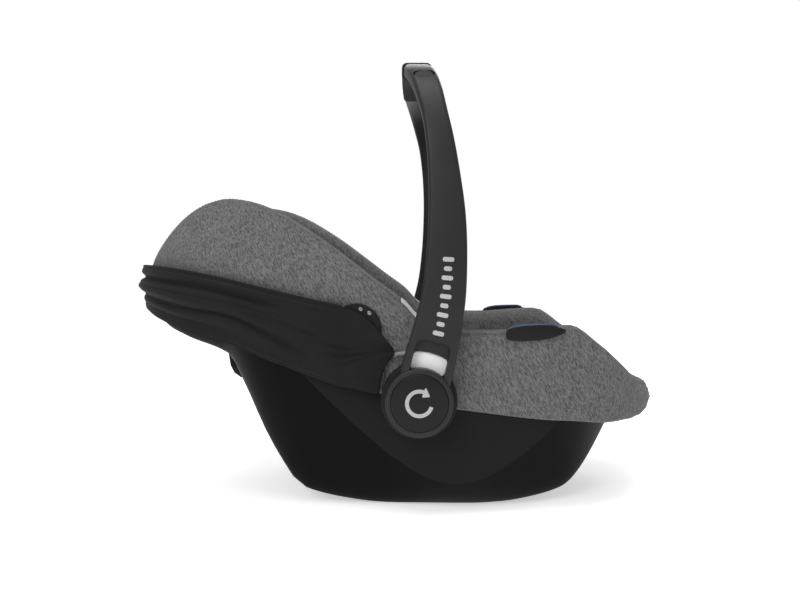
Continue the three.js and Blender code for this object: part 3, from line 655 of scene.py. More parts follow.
def crest_rows(outer, inner, round_out, round_in):
    """Rows of points over the crest, from the outer wall to the inner one, with rounded shoulders."""
    across = inner - outer
    width = np.linalg.norm(across, axis=1)
    rows = []

    def row(distance, drop):
        spot = outer + across * (distance / width)[:, None]
        rows.append(np.column_stack([spot, CREST(spot[:, 0]) - drop]))

    for i, a in enumerate(np.linspace(0, math.pi / 2, SHOULDER_ROWS)):
        radius = round_out - (SEAM_DENT if i == SEAM_ROW else 0)
        row(round_out - radius * math.cos(a), round_out - radius * math.sin(a))
    for beyond, drop in SEAM_PROFILE:
        row(round_out + beyond, np.full(len(width), drop))
    row((width + round_out + SEAM_PROFILE[-1][0] - round_in) / 2, np.zeros(len(width)))
    for a in np.linspace(math.pi / 2, 0, 8):
        row(width - round_in * (1 - math.cos(a)), round_in * (1 - math.sin(a)))
    return rows


def cover_rows():
    """The cover as rows round the plan, from the hem up the outside, over the crest and down to the floor."""
    outer, inner = plan_loop(**COVER), plan_loop(**SEAT)
    inward = unit(inner - outer)
    skirt, crest = SKIRT(outer[:, 0]), CREST(outer[:, 0])
    round_out = np.minimum(11, 0.42 * (crest - skirt))
    rows = []
    for inset, rise in HEM_PROFILE:
        level = skirt + np.minimum(rise, 0.3 * (crest - skirt))
        rows.append(np.column_stack([outer + inward * inset, level]))
    start, top = rows[-1][:, 2], crest - round_out
    for t in np.linspace(0, 1, 26)[1:-1]:
        swell = 1.4 * math.sin(math.pi * t)
        rows.append(np.column_stack([outer - inward * swell, start + t * (top - start)]))
    low, high = FLOOR(inner[:, 0]), CREST(inner[:, 0])
    corner = np.minimum(SEAT_CORNER, 0.55 * (high - low))
    round_in = np.minimum(15, 0.4 * (high - low - corner) + 1)
    rows += crest_rows(outer, inner, round_out, round_in)
    wall_top, wall_low = high - round_in, low + corner
    for t in np.linspace(0, 1, 14)[1:]:
        rows.append(np.column_stack([inner, wall_top + t * (wall_low - wall_top)]))
    spine = np.column_stack([np.clip(inner[:, 0], *SPINE), np.zeros(len(inner))])
    for k in np.cos(np.linspace(0, math.pi / 2, 34))[1:]:
        spot = spine + k * (inner - spine)
        rise = (1 - (1 - k**2.5) ** 0.4) * corner
        rows.append(np.column_stack([spot, FLOOR(spot[:, 0]) + rise]))
    return np.array(rows)


def soften(points, amount, scale, seed):
    """Small uneven swellings of padded fabric, along the direction from the middle of the seat."""
    moved = points.copy()
    flat = moved.reshape(-1, 3)
    for i, p in enumerate(points.reshape(-1, 3)):
        value = noise.noise(Vector((p[0] / scale, p[1] / scale, p[2] / scale + seed)))
        out = Vector((0, p[1], 0.3 * (p[2] - 100)))
        if out.length > 1:
            flat[i] += np.array(out.normalized()) * value * amount
    return moved


def make_cover():
    """The cover, gathered along the foot's hem and kept clear of the canopy's side plates."""
    rows = leaned(cover_rows())
    gather = np.clip((rows[..., 0] - 235) / 90, 0, 1)
    near_hem = np.clip(1 - np.abs(rows[..., 2] - SKIRT(rows[..., 0]) - 8) / 26, 0, 1)
    around = np.arctan2(rows[..., 1], rows[..., 0] - 150)
    ripple = (np.sin(around * 46) + 0.6 * np.sin(around * 29 + 1)) * gather * near_hem * 0.9
    ripple[OUTSIDE_ROWS + 2:] = 0
    rows[..., 2] += ripple
    rows = soften(rows, 1.1, 45, 3.1)
    from_plate = np.hypot(rows[..., 0] - CANOPY["x"], rows[..., 2] - CANOPY["z"])
    limit = PLATE["low"] - 1.8 + 4 * smooth_step(34, 50, from_plate)
    rows[..., 1] = np.clip(rows[..., 1], -limit, limit)
    cover = grid("seat_cover_knit", rows, around=True)
    finish(thickened(cover, 2.4), COVER_KNIT, "cover_knit", "shell", "seat_cover")
    add_cover_seams(cover, rows)
    make_foam_liner(rows[-SEAT_ROWS:])
    return cover


def add_cover_seams(cover, rows):
    """Twin stitching beside the crest seam on each side, and stitching round the nose and inside the rim."""
    shoulder = OUTSIDE_ROWS + SHOULDER_ROWS
    count = rows.shape[1]
    sewn = []
    for columns in (slice(0, count // 2), slice(count // 2, count)):
        for row in (OUTSIDE_ROWS + SEAM_ROW - 2, OUTSIDE_ROWS + SEAM_ROW + 2, shoulder - 1, shoulder + 3):
            path = rows[row, columns]
            sewn.append(sewn_on(cover, path[path[:, 0] < 196]))
        path = rows[-SEAT_ROWS + 4, columns]
        sewn.append(sewn_on(cover, path[path[:, 0] < 120]))
        foot = rows[4:shoulder, columns]
        nose = int(np.argmin(np.abs(foot[0, :, 0] - 322)))
        sewn.append(sewn_on(cover, foot[:, nose]))
    finish(joined("seat_cover_stitching", sewn), THREAD, "cover_knit", "shell")


def sewn_on(obj, path):
    """Stitches along a path, drawn onto the nearest surface of a piece."""
    tree = BVHTree.FromObject(obj, bpy.context.evaluated_depsgraph_get())
    found = [tree.find_nearest(Vector(p) * MM) for p in path]
    outward = [np.array(normal) * (1 if normal.z > -0.3 else -1) for _, normal, _, _ in found]
    return stitches("stitches", [np.array(point) / MM for point, _, _, _ in found], outward)


def make_foam_liner(rows):
    """The bead foam liner, which follows the seat a few millimetres beyond the cover."""
    spine = np.clip(rows[..., 0], *SPINE)
    centre = np.stack([spine, np.zeros_like(spine), FLOOR(spine) + 110], axis=-1)
    points = rows + unit(rows - centre) * LINER["gap"]
    liner = grid("foam_liner_body", points[LINER["top_row"]:], around=True)
    finish(thickened(liner, LINER["thick"]), FOAM, "foam_beads", "shell", "foam_liner")


# ---------- canopy ----------
# The canopy's front edge on each side, from its top corner past the handle's hub to the hem: (x, z).
CANOPY_FRONT = ((-62, 247.5), (-50, 244), (-38, 238.5), (-25, 227.5), (-12, 213), (0, 197), (0, 190),
                (-9, 180), (-14.5, 165), (-17, 146))
# Each bow: name, distance from the middle plane, head end, slope and body.
BOWS = (
    ("front", 180.9, -324.4, BOW_SLOPE, "canopy_bow"),
    ("middle", 182.4, -319.8, 0.11, "canopy_middle"),
)
BOW_SECTION = ((-0.1, -4.2), (0.7, -4.8), (1.4, -4.2), (1.4, 4.2), (0.7, 4.8), (-0.1, 4.2))
RIVETS = ((-39, 244), (-28.8, 239.5))
# Creases of the folded cloth: share of the height from the top edge at some x, depth, width, and reach in x.
CREASES = (
    (((-331, 0.30), (-280, 0.25), (-197, 0.20), (-140, 0.2), (-100, 0.14)), 6.5, 3.2, (-400, -122)),
    (((-331, 0.43), (-197, 0.34), (-140, 0.33), (-90, 0.36)), 2.4, 2.6, (-400, -105)),
    (((-331, 0.50), (-197, 0.42), (-140, 0.41), (-85, 0.45), (-30, 0.52)), 2.2, 3.2, (-270, -60)),
    (((-331, 0.66), (-250, 0.60), (-197, 0.55), (-140, 0.63), (-80, 0.82)), 6.0, 4.0, (-400, -95)),
    (((-331, 0.84), (-250, 0.80), (-197, 0.78), (-150, 0.86)), 2.0, 3.5, (-330, -170)),
    (((-120, 0.52), (-60, 0.53), (-8, 0.55)), 2.6, 2.4, (-105, 30)),
    (((-120, 0.66), (-60, 0.62), (-8, 0.575)), 2.8, 2.6, (-95, 30)),
    (((-120, 0.40), (-60, 0.46), (-8, 0.53)), 1.8, 2.4, (-80, 30)),
    (((-120, 0.80), (-60, 0.72), (-8, 0.60)), 2.2, 2.8, (-85, 30)),
)


def canopy_side(half, head, start, straight, turn):
    """Points (x, y) down the canopy's right side, from its front to the middle of the head end."""
    side = [(x, -half) for x in np.linspace(start, HEAD_START, straight)[:-1]]
    across, along = superellipse(np.linspace(0, math.pi / 2, turn), CANOPY["power"]).T
    arc = np.column_stack([HEAD_START + (head - HEAD_START) * along, -half * across])
    return np.vstack([side, arc])


def outward_from(line):
    """Directions (x, y) out from a line that runs down the right side towards the head."""
    ahead = unit(np.gradient(line, axis=0))
    return np.column_stack([-ahead[:, 1], ahead[:, 0]])


def canopy_plan(rows):
    """Points (x, y, z) of the flat canopy sheet on the right side, from the front edge to the head."""
    share = np.linspace(0, 1, rows)
    edge = softened_line(CANOPY_FRONT, rows, 3)
    half, start = CANOPY["half"], CANOPY_FRONT[0][0]

    def level(x):
        return TOP_EDGE(x) + share * (HEM(x) - TOP_EDGE(x))

    columns = []
    for t in np.linspace(0, 1, 16)[:-1]:
        x = edge[:, 0] + t * (start - edge[:, 0])
        z = edge[:, 1] + smooth_step(0, 1, t) * (level(start) - edge[:, 1])
        columns.append(np.column_stack([x, np.full(rows, -half), z]))
    for x, y in canopy_side(half, CANOPY["head"], start, 14, 46):
        columns.append(np.column_stack([np.full(rows, x), np.full(rows, y), level(x)]))
    return np.array(columns), share


def canopy_folds(columns, share):
    """How far the cloth stands out from the flat sheet at each point."""
    x = columns[..., 0]
    height = np.abs(columns[:, :1, 2] - columns[:, -1:, 2])
    headward = smooth_step(-70, -220, x)
    fold = smooth_step(0.2, 0.36, share) * (1 - smooth_step(0.55, 0.72, share))
    out = 3.8 * fold * (0.25 + 0.75 * headward) * smooth_step(-60, -130, x)
    out += 0.5 * np.sin(np.pi * np.clip(share / 0.22, 0, 1)) * headward
    out -= 4.0 * smooth_step(0.7, 1.0, share) * smooth_step(-80, -180, x)
    for knots, depth, width, (low, high) in CREASES:
        middle = smooth_curve(knots)(x)
        away = np.abs(share[None, :] - middle) * height
        fade = smooth_step(low, low + 40, x) * (1 - smooth_step(high - 45, high, x))
        out -= depth * np.exp(-((away / width) ** 1.3)) * fade
        out += 0.35 * depth * np.exp(-(((away - 2.2 * width) / (1.4 * width)) ** 2)) * fade
    behind = smooth_step(-50, -90, x)
    return np.maximum(out + 1.5 * behind, 2.6 * behind - 3)


def make_canopy():
    """The canopy's cloth, one sheet that reaches from the shell to the front bow."""
    columns, share = canopy_plan(100)
    out = canopy_folds(columns, share)
    normal = outward_from(columns[:, len(share) // 2, :2])
    right = columns.copy()
    right[..., :2] += normal[:, None, :] * out[..., None]
    flat = right.reshape(-1, 3)
    for i, p in enumerate(columns.reshape(-1, 3)):
        wave = noise.noise(Vector((p[0] / 34, p[1] / 34, p[2] / 16)))
        flat[i, :2] += normal[i // len(share)] * wave * 1.1
    sheet = grid("canopy_cloth", mirrored(right))
    finish(thickened(sheet, 1.2), CANOPY_CLOTH, "canopy_cloth", None,
           "canopy_front_panel", "canopy_middle_panel", "canopy_rear_panel")
    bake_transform(sheet)
    add_canopy_edges(right)


def add_canopy_edges(right):
    """The bound top edge of the canopy, and the rows of stitching under it and above the hem."""
    edge = tube("canopy_top_binding", mirrored(right[:, 0]) + [0, 0, -0.6], 1.5, sides=10)
    finish(edge, CANOPY_CLOTH, "canopy_cloth", "canopy_bow")
    rows = (("canopy_top_stitching", 7, "canopy_bow"), ("canopy_hem_stitching", 94, "shell"))
    for name, row, body in rows:
        line = mirrored(right[16:, row])
        away = (line - [HEAD_START, 0, 0]) * [1, 1, 0]
        away[:, 0] = np.minimum(away[:, 0], 0)
        away = unit(away)
        sewn = stitches(name, line + away * 0.7, away, length=2.6, gap=1.4, radius=0.26)
        finish(sewn, DARK_THREAD, "canopy_cloth", body)


def bow_rod(name, half, head, slope):
    """A flat springy rod from one pivot round the head to the other, with an eye at each end."""
    loop = mirrored(canopy_side(half, head, CANOPY["x"], 8, 30))
    rows = []
    for (x, y), out in zip(loop, outward_from(loop)):
        z = CANOPY["z"] + slope * (CANOPY["x"] - x)
        rows.append([(x + out[0] * a, y + out[1] * a, z + b) for a, b in BOW_SECTION])
    parts = [grid(name, rows, around=True, caps=True)]
    centre = (CANOPY["x"], CANOPY["z"])
    for _, sign in SIDES:
        parts.append(rounded_disc("eye", 9, half - 0.1, half + 1.4, centre, sign, edge=0.4, segments=48))
    return joined(name, parts)


def make_canopy_frame():
    for name, half, head, slope, body in BOWS:
        rod = bow_rod(f"canopy_{name}_bow_rod", half, head, slope)
        finish(rod, TRIM_PLASTIC, "shell_plastic", body, f"canopy_{name}_bow")
    for side, sign in SIDES:
        make_canopy_pivot(side, sign)


def make_canopy_pivot(side, sign):
    """The plate that the canopy turns on, with its pin and two rivets."""
    centre = (CANOPY["x"], CANOPY["z"])
    name = f"canopy_pivot_cover_{side}"
    cover = rounded_disc(name, PLATE["radius"], PLATE["low"], PLATE["high"], centre, sign, edge=0.9)
    finish(cover, TRIM_PLASTIC, "shell_plastic", "shell", f"canopy_side_plate_{side}")
    profile = [(180.5, 0.01), (180.5, 3), (184.6, 3), (185.2, 2), (185.4, 0.01)]
    pin = turned(f"canopy_pin_{side}", profile, centre, sign, 32)
    finish(pin, STEEL, "steel", "shell", f"canopy_pivot_pin_{side}")
    dome = [(180.2 + 0.6 * math.cos(a), 2.6 * math.sin(a)) for a in np.linspace(math.pi / 2, 0.01, 8)]
    for number, place in enumerate(RIVETS, 1):
        name = f"canopy_rivet_head_{side}_{number}"
        rivet = turned(name, [(179.8, 0.01), (179.8, 2.6), *dome], place, sign, 32)
        finish(rivet, RIVET_STEEL, "steel", "shell", f"canopy_rivet_{side}_{number}")


# ---------- handle ----------
# One side of the handle, as in the CAD: height, distance from the middle plane, rear edge, front edge, depth.
HANDLE = (
    (141, 207.5, 1, 57, 13), (175, 207.5, 8, 67, 13), (200, 207.5, 15, 72.5, 13), (225, 207, 22.5, 77, 13),
    (255, 206.2, 30, 81, 12.5), (300, 203.5, 36, 83, 12), (350, 199.5, 39, 81.5, 12),
    (400, 193.7, 39, 75, 12.5), (440, 186.7, 36, 68, 13.5), (472, 175.5, 31, 61, 15),
    (492, 164, 25.5, 57, 16.5), (508, 149, 20.5, 53, 17), (520, 130, 16, 49, 17.5), (529, 105, 12, 45, 17.5),
    (535.5, 75, 10, 42.5, 17.5), (542, 40, 9, 41, 17), (544, 0, 9, 41, 17),
)
ARM_IN, HUB_FACE, BUTTON_FACE = 201, 217.5, 218.6
HUB_RADIUS, BUTTON_RADIUS = 39, 32.8
WINDOW_TILT = math.radians(14)


def handle_path(count=150):
    """Smooth (y, z, rear, front, depth) along the whole handle, from the right hub to the left one."""
    side = np.array([(y, z, rear, front, depth) for z, y, rear, front, depth in HANDLE])
    return resampled(np.vstack([side * [-1, 1, 1, 1, 1], side[-2::-1]]), count, measured=2)


def box_outline(half_wide, half_high):
    return [(half_wide, -half_high), (half_wide, half_high), (-half_wide, half_high), (-half_wide, -half_high)]


def handle_section(half_wide, half_deep, corner, crown):
    """A rounded rectangle whose outer face is slightly crowned: points (across, out)."""
    points = rounded(box_outline(half_wide, half_deep), corner, steps=7)
    return [(u, v + (crown * (1 - (u / half_wide) ** 2) if v > 0 else 0)) for u, v in points]


def handle_loft(name, path, grow=0.0):
    points = np.column_stack([(path[:, 2] + path[:, 3]) / 2, path[:, 0], path[:, 1]])
    rows = []
    for centre, along, stop in zip(points, unit(np.gradient(points, axis=0)), path):
        _, _, rear, front, depth = stop
        across = unit(np.array([1.0, 0, 0]) - along * along[0])
        out = np.cross(across, along)
        section = handle_section((front - rear) / 2 + grow, depth / 2 + grow, 0.36 * depth, 0.9)
        rows.append([centre + across * u + out * v for u, v in section])
    return grid(name, rows, around=True, caps=True)


def window_outline(half, low, high):
    """The arm's window: an outline across and along the arm, with round upper corners."""
    corner = 9
    c, s = math.cos(WINDOW_TILT), math.sin(WINDOW_TILT)
    plain = [(-half, low), (half, low)]
    for a in np.linspace(0, math.pi, 14):
        middle = half - corner if a < math.pi / 2 + 0.01 else corner - half
        plain.append((middle + corner * math.cos(a), high - corner + corner * math.sin(a)))
    return [(PIVOT[0] + a * c + b * s, PIVOT[1] - a * s + b * c) for a, b in plain]


def hub_disc(radius, low, high, sign, edge=0.1):
    """A disc about the handle's pivot, to add or to cut with."""
    return rounded_disc("hub_disc", radius, low, high, PIVOT, sign, edge=edge)


def make_handle():
    """The handle, with a hub on each arm that has a well for the button and a window above it."""
    arms = handle_loft("handle_frame_shell", handle_path())
    for _, sign in SIDES:
        boolean(arms, hub_disc(HUB_RADIUS, ARM_IN, HUB_FACE, sign, edge=2.2), "UNION")
        boolean(arms, hub_disc(BUTTON_RADIUS + 0.5, 208, HUB_FACE + 9, sign))
        boolean(arms, hub_disc(12.6, ARM_IN - 5, HUB_FACE, sign))
        for high, depth in ((58, ARM_IN - 5), (72, ARM_IN + 5)):
            opening = prism("opening", window_outline(20, 20, high), depth, HUB_FACE + 4, sign)
            boolean(opening, hub_disc(HUB_RADIUS, ARM_IN - 9, HUB_FACE + 9, sign))
            boolean(arms, opening)
        boolean(arms, release_oval("cut", 0.5, 0.5, 20, sign))
    arms = bevelled(arms, 0.7, segments=2, angle=45)
    finish(arms, HANDLE_PLASTIC, "handle_plastic", "handle", "handle_frame")
    make_grip()
    make_marks()


def release_oval(name, grow, low, high, sign):
    """The oval button on the handle's shoulder, lying in the shoulder's face."""
    lean_in = 0.86
    centre = np.array([35, sign * 140, 514])
    out = np.array([0, sign * math.sin(lean_in), math.cos(lean_in)])
    side = np.array([0, sign * math.cos(lean_in), -math.sin(lean_in)])
    oval = circle(64) * [12.5 + grow, 9 + grow] @ np.array([[1, 0, 0], side])
    profile = ((low, 0.02), (low, 1), (high - 1.6, 1), (high - 0.7, 0.96), (high - 0.15, 0.86),
               (high, 0.7), (high + 0.15, 0.02))
    rows = [centre + out * level + oval * size for level, size in profile]
    return grid(name, rows, around=True, caps=True)


def make_grip():
    path = handle_path(260)
    path = path[np.abs(path[:, 0]) <= 90]
    grip = handle_loft("handle_grip_sleeve", path, grow=1.5)
    finish(bevelled(grip, 1.0, segments=3, angle=60), RUBBER, "grip_rubber", "handle", "handle_grip")
    for side, sign in SIDES:
        button = release_oval(f"release_button_{side}_top", 0, 3.2, 8, sign)
        finish(button, BUTTON_PLASTIC, "handle_plastic", f"release_button_{side}", f"release_button_{side}")


def round_pivot(radius, angle):
    """The point (x, z) at a distance and an angle from the handle's pivot."""
    return PIVOT[0] + radius * math.cos(angle), PIVOT[1] + radius * math.sin(angle)


def pivot_band(inner, outer, angles):
    """The outline of a band between two radii about the handle's pivot."""
    return [round_pivot(outer, a) for a in angles] + [round_pivot(inner, a) for a in angles[::-1]]


def make_marks():
    """Plain rounded bars up the outside of each arm, and a turning arrow on each pivot button."""
    path = handle_path(400)
    arm = path[: len(path) // 2]
    middle = (arm[:, 2] + arm[:, 3]) / 2
    for side, sign in SIDES:
        bars = []
        for i, z in enumerate(np.arange(219, 304, 10.4)):
            k = int(np.argmin(np.abs(arm[:, 1] - z)))
            x, y = middle[k] + 2, abs(arm[k, 0]) + arm[k, 4] / 2 + 0.9
            slope = math.atan2(middle[k + 4] - middle[k - 4], arm[k + 4, 1] - arm[k - 4, 1])
            c, s = math.cos(slope), math.sin(slope)
            bar = rounded(rectangle(13 if i % 2 == 0 else 9.2, 5.2), 2.5)
            outline = [(x + a * c + b * s, z - a * s + b * c) for a, b in bar]
            bars.append(extruded("bar", outline, y - 0.8, y + 0.12, sign, edge=0.15, segments=2))
        finish(joined(f"arm_marks_{side}", bars), MARK_PLASTIC, "grey_plastic", "handle")
        arrow = joined(f"pivot_button_mark_{side}", turning_arrow(sign))
        finish(arrow, MARK_PLASTIC, "grey_plastic", f"pivot_button_{side}")


def turning_arrow(sign):
    """An arc that stops short of a full turn, with an arrowhead."""
    angles = np.linspace(math.radians(70), math.radians(345), 50)
    foot, tip = angles[0], math.radians(38) - 0.1
    head = rounded([round_pivot(20.5, foot), round_pivot(7.5, foot), round_pivot(14.5, tip)], 1.2)
    low, high = BUTTON_FACE - 0.6, BUTTON_FACE + 0.25
    return [extruded("mark", outline, low, high, sign, edge=0.15, segments=2)
            for outline in (pivot_band(11.8, 16.2, angles), head)]


# ---------- hubs ----------
# The cover's bound edge on the head side of the hub: (x, z).
PIPING = ((26, 192.5), (14, 193), (4, 192), (-4, 188.5), (-10, 182), (-14, 172), (-16, 160), (-17.5, 150))


def make_hubs():
    for side, sign in SIDES:
        housing = rounded_disc(f"lock_housing_{side}_body", 44, 172.4, 199.5, PIVOT, sign, edge=2.0)
        finish(housing, TRIM_PLASTIC, "shell_plastic", "shell", f"lock_housing_{side}")
        keep_cad(f"lock_gear_{side}", GREY_PLASTIC)
        make_position_plate(side, sign)
        make_pivot_button(side, sign)
        make_button_spring(side, sign)
        make_hub_piping(side, sign)


def make_position_plate(side, sign):
    """The white plate behind the arm's window: a deep part round the housing and a thin one over it."""
    middle, reach = math.pi / 2 - WINDOW_TILT, 0.49
    angles = np.linspace(middle - reach, middle + reach, 40)
    parts = [extruded("plate", pivot_band(inner, 56, angles), low, high, sign, edge=0.3)
             for inner, low, high in ((44.4, 190, 199.9), (38.6, 199.6, 200.6))]
    plate = joined(f"position_plate_{side}_face", parts)
    finish(plate, WHITE_PLASTIC, "white_plastic", "shell", f"position_plate_{side}")


def make_pivot_button(side, sign):
    """The round button, with a stem that reaches into the hub."""
    button = f"pivot_button_{side}"
    cap = rounded_disc(f"{button}_cap", BUTTON_RADIUS, 212.6, BUTTON_FACE, PIVOT, sign, edge=1.3, segments=128)
    stem = rounded_disc("stem", 10, 194, 213, PIVOT, sign, edge=0.3, segments=48)
    finish(joined(cap.name, [cap, stem]), BUTTON_PLASTIC, "handle_plastic", button, button)


def keep_cad(node, material):
    """A CAD node whose shape is already right gets its material."""
    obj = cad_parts[node]
    obj.data.materials.clear()
    obj.data.materials.append(material)


def make_button_spring(side, sign):
    """The coil spring under a pivot button."""
    low, high = (np.array(corner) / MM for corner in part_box(f"button_spring_{side}"))
    near, far = sorted((abs(low[1]), abs(high[1])))
    wire, turns = 0.55, 3
    radius = (high[0] - low[0]) / 2 - wire
    angles = np.linspace(0, 2 * math.pi * turns, 150)
    path = np.column_stack([
        PIVOT[0] + radius * np.cos(angles),
        sign * np.linspace(near + wire, far - wire, len(angles)),
        PIVOT[1] + radius * np.sin(angles),
    ])
    spring = tube(f"button_spring_{side}_coil", path, wire, sides=8)
    finish(spring, STEEL, "steel", "handle", f"button_spring_{side}")
    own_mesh(spring)


def make_hub_piping(side, sign):
    """The light bound edge of the cover, where it passes round the head side of the hub."""
    x, z = softened_line(PIPING, 40, 2).T
    path = np.column_stack([x, np.full(len(x), sign * 181.5), z])
    finish(tube(f"hub_piping_{side}", path, 2.6, sides=14), PIPING_KNIT, "cover_knit", "shell")


# ---------- belt guides, rim tabs and rear hook ----------
GUIDE = ((129, 209.5), (131.5, 221.5), (150, 225), (168, 226.2), (184, 225.4), (201, 219.8), (194, 215),
         (184, 211), (168, 208), (150, 207), (138, 207.4))


def make_guides():
    """The dark belt guides on the thigh sides, each with a blue line along its top."""
    outline = rounded(GUIDE, 7)
    step = rounded([(133, 209), (134, 213), (192, 213), (188, 211), (172, 208.3), (150, 207)], 2)
    line = [(137, 223.4), (150, 225.6), (166, 226.4), (182, 226.6), (190, 224.6)]
    along = np.linspace(line[0][0], line[-1][0], 30)
    level = smooth_curve(line)(along) - 0.3
    for side, sign in SIDES:
        wall = extruded("wall", outline, 170.3, 182, sign, edge=1.8, segments=4)
        seat = extruded("seat", step, 151.5, 171.5, sign, edge=0.8)
        guide = joined(f"belt_guide_{side}_boat", [wall, seat])
        finish(guide, TRIM_PLASTIC, "shell_plastic", "shell", f"belt_guide_{side}")
        path = np.column_stack([along, np.full(len(along), sign * 176.4), level])
        mark = tube(f"belt_mark_{side}_line", path, 0.8, sides=10)
        finish(mark, BLUE_PLASTIC, "blue_plastic", "shell", f"belt_mark_{side}")


def make_rim_tabs():
    """Two short light tabs that lie over the cover's shoulder."""
    turn, lift = 12, 1.4
    for side, sign in SIDES:
        rows = []
        for x in np.linspace(8, 34, 13):
            z = float(CREST(x)) + lift - turn
            row = []
            for y in np.linspace(160, 175.5, 10):
                over = max(0, y - (COVER["half"] - 11))
                row.append((x, sign * y, z + math.sqrt(max(0, turn**2 - over**2))))
            rows.append(row)
        tab = bevelled(thickened(grid(f"rim_tab_{side}_label", rows), 1.6), 0.6, segments=2, angle=40)
        finish(tab, TAB_CLOTH, "grey_plastic", "shell", f"rim_tab_{side}")


def make_rear_hook():
    outline = [(-222, 180), (-219, 160), (-214, 150), (-205, 143.5), (-178, 141), (-193, 180), (-207, 180),
               (-204.5, 161), (-211.5, 161), (-215.5, 180)]
    hook = bevelled(prism("rear_belt_hook_body", outline, -38, 38), 1.4, segments=3, angle=35)
    finish(hook, TRIM_PLASTIC, "shell_plastic", "shell", "rear_belt_hook")


# ---------- pads that lie in the seat ----------
INSERT = {"head": -150, "foot": 72, "half": 100, "thick": 19}
CHANNELS = (-92, -36, 20)
HEAD_PAD = {"head": -283, "foot": -155, "half": 112, "rise": 52, "hollow_head": -252, "base": 15}
# The gap that a pad keeps above the cover.
REST = 2.6


def surface_under(obj):
    """The top of a piece below any (x, y), as a function that gives a point and a normal."""
    tree = BVHTree.FromObject(obj, bpy.context.evaluated_depsgraph_get())

    def at(x, y):
        start = Vector((x, y, float(FLOOR(x)) + SEAT_CORNER + 2)) * MM
        point, normal, _, _ = tree.ray_cast(start, Vector((0, 0, -1)))
        if point is None:
            return np.array([x, y, float(FLOOR(x))]), np.array([0.0, 0, 1])
        return np.array(point) / MM, np.array(normal)

    return at


def room_beside(x, margin=9):
    """Half the width of the seat's hollow at x, less a margin."""
    end = SEAT["head"] + margin
    share = min(1, max(0, (HEAD_START - x) / (HEAD_START - end)))
    return (SEAT["half"] - margin) * (1 - share**PLAN_POWER) ** (1 / PLAN_POWER)


def pad_edge(size, angles, power, inset=0):
    """A pad's rounded plan about its own middle, some way inside its edge."""
    reach = (size["foot"] - size["head"]) / 2
    return superellipse(angles, power) * [reach - inset, size["half"] - inset]


def lying_pad(name, size, seat, top, power=3.2):
    """A closed crowned pad on the seat: its plan is a rounded rectangle, and top(x, y) is its height."""
    middle = (size["head"] + size["foot"]) / 2
    edge = pad_edge(size, np.linspace(0, 2 * math.pi, 132, endpoint=False), power)
    shares = 1 - (1 - np.linspace(0.02, 1, 24)) ** 1.5
    rows = []
    for upper in (False, True):
        for k in (shares[::-1] if upper else shares):
            full = (1 - k**8) ** 0.4
            row = []
            for dx, dy in edge * k:
                x = middle + dx
                y = math.copysign(min(abs(dy), room_beside(x) * (0.3 + 0.7 * k)), dy)
                low = seat(x, y)[0][2] + REST
                high = max(top(x, y), low + 10)
                centre, half = (low + high) / 2, (high - low) / 2
                row.append((x, y, centre + half * full * (1 if upper else -1)))
            rows.append(row)
    return grid(name, rows, around=True, caps=True)


def swollen(obj, seat=None, voxel=4, cap=5, pressure=4):
    """Inflates a closed pad by a short cloth simulation, each point moving cap millimetres at most."""
    modified(obj, "REMESH", mode="VOXEL", voxel_size=voxel * MM)
    before = coordinates(obj)
    cloth = obj.modifiers.new("swelling", "CLOTH")
    cloth.settings.use_pressure = True
    cloth.settings.uniform_pressure_force = pressure
    cloth.settings.effector_weights.gravity = 0
    for step in range(1, 21):
        bpy.context.scene.frame_set(step)
    apply_modifiers(obj)
    bpy.context.scene.frame_set(1)
    moved = coordinates(obj) - before
    length = np.linalg.norm(moved, axis=1)[:, None]
    after = before + moved * np.minimum(1, cap / np.maximum(length, 0.001))
    if seat is not None:
        lowest = np.array([seat(x, y)[0][2] for x, y, _ in after]) + 0.6 * REST
        after[:, 2] = np.maximum(after[:, 2], lowest)
    obj.data.vertices.foreach_set("co", (after * MM).ravel())
    return smoothed(modified(obj, "SUBSURF", levels=1))


def coordinates(obj):
    found = np.empty(len(obj.data.vertices) * 3)
    obj.data.vertices.foreach_get("co", found)
    return found.reshape(-1, 3) / MM


def laid(surface, route, lift=0.0):
    """A plan route of (x, y) laid on a surface: its points and normals."""
    spots = [surface(x, y) for x, y in route]
    points, normals = (np.array([spot[k] for spot in spots]) for k in (0, 1))
    return points + normals * lift, normals


def insert_top(x):
    return float(FLOOR(x)) + INSERT["thick"]


def make_insert(seat):
    """The newborn insert: a thin pad with side bolsters, sewn channels across it and slots for the straps."""

    def top(x, y):
        bolster = 5 * math.exp(-(((abs(y) - 82) / 15) ** 2))
        dips = sum(math.exp(-(((x - middle) / 3.2) ** 2)) for middle in CHANNELS)
        return insert_top(x) - 3 + bolster - 2.4 * dips * (abs(y) < 76)

    pad = swollen(lying_pad("newborn_insert_pad", INSERT, seat, top), seat, cap=3)
    finish(pad, PAD_KNIT, "pad_cloth", "shell", "newborn_insert")
    surface = surface_under(pad)
    border = pad_edge(INSERT, np.linspace(0, 2 * math.pi, 150), 3.2, inset=9)
    routes = [[(x, y) for y in np.linspace(-70, 70, 60)] for x in CHANNELS]
    routes.append(border + [(INSERT["head"] + INSERT["foot"]) / 2, 0])
    sewn = [stitches("channel", *laid(surface, route)) for route in routes]
    finish(joined("newborn_insert_stitching", sewn), THREAD, "pad_cloth", "shell")
    make_slots(surface, [(STRAP["slot"], sign * STRAP["spread"]) for _, sign in SIDES], "shoulder_slots")


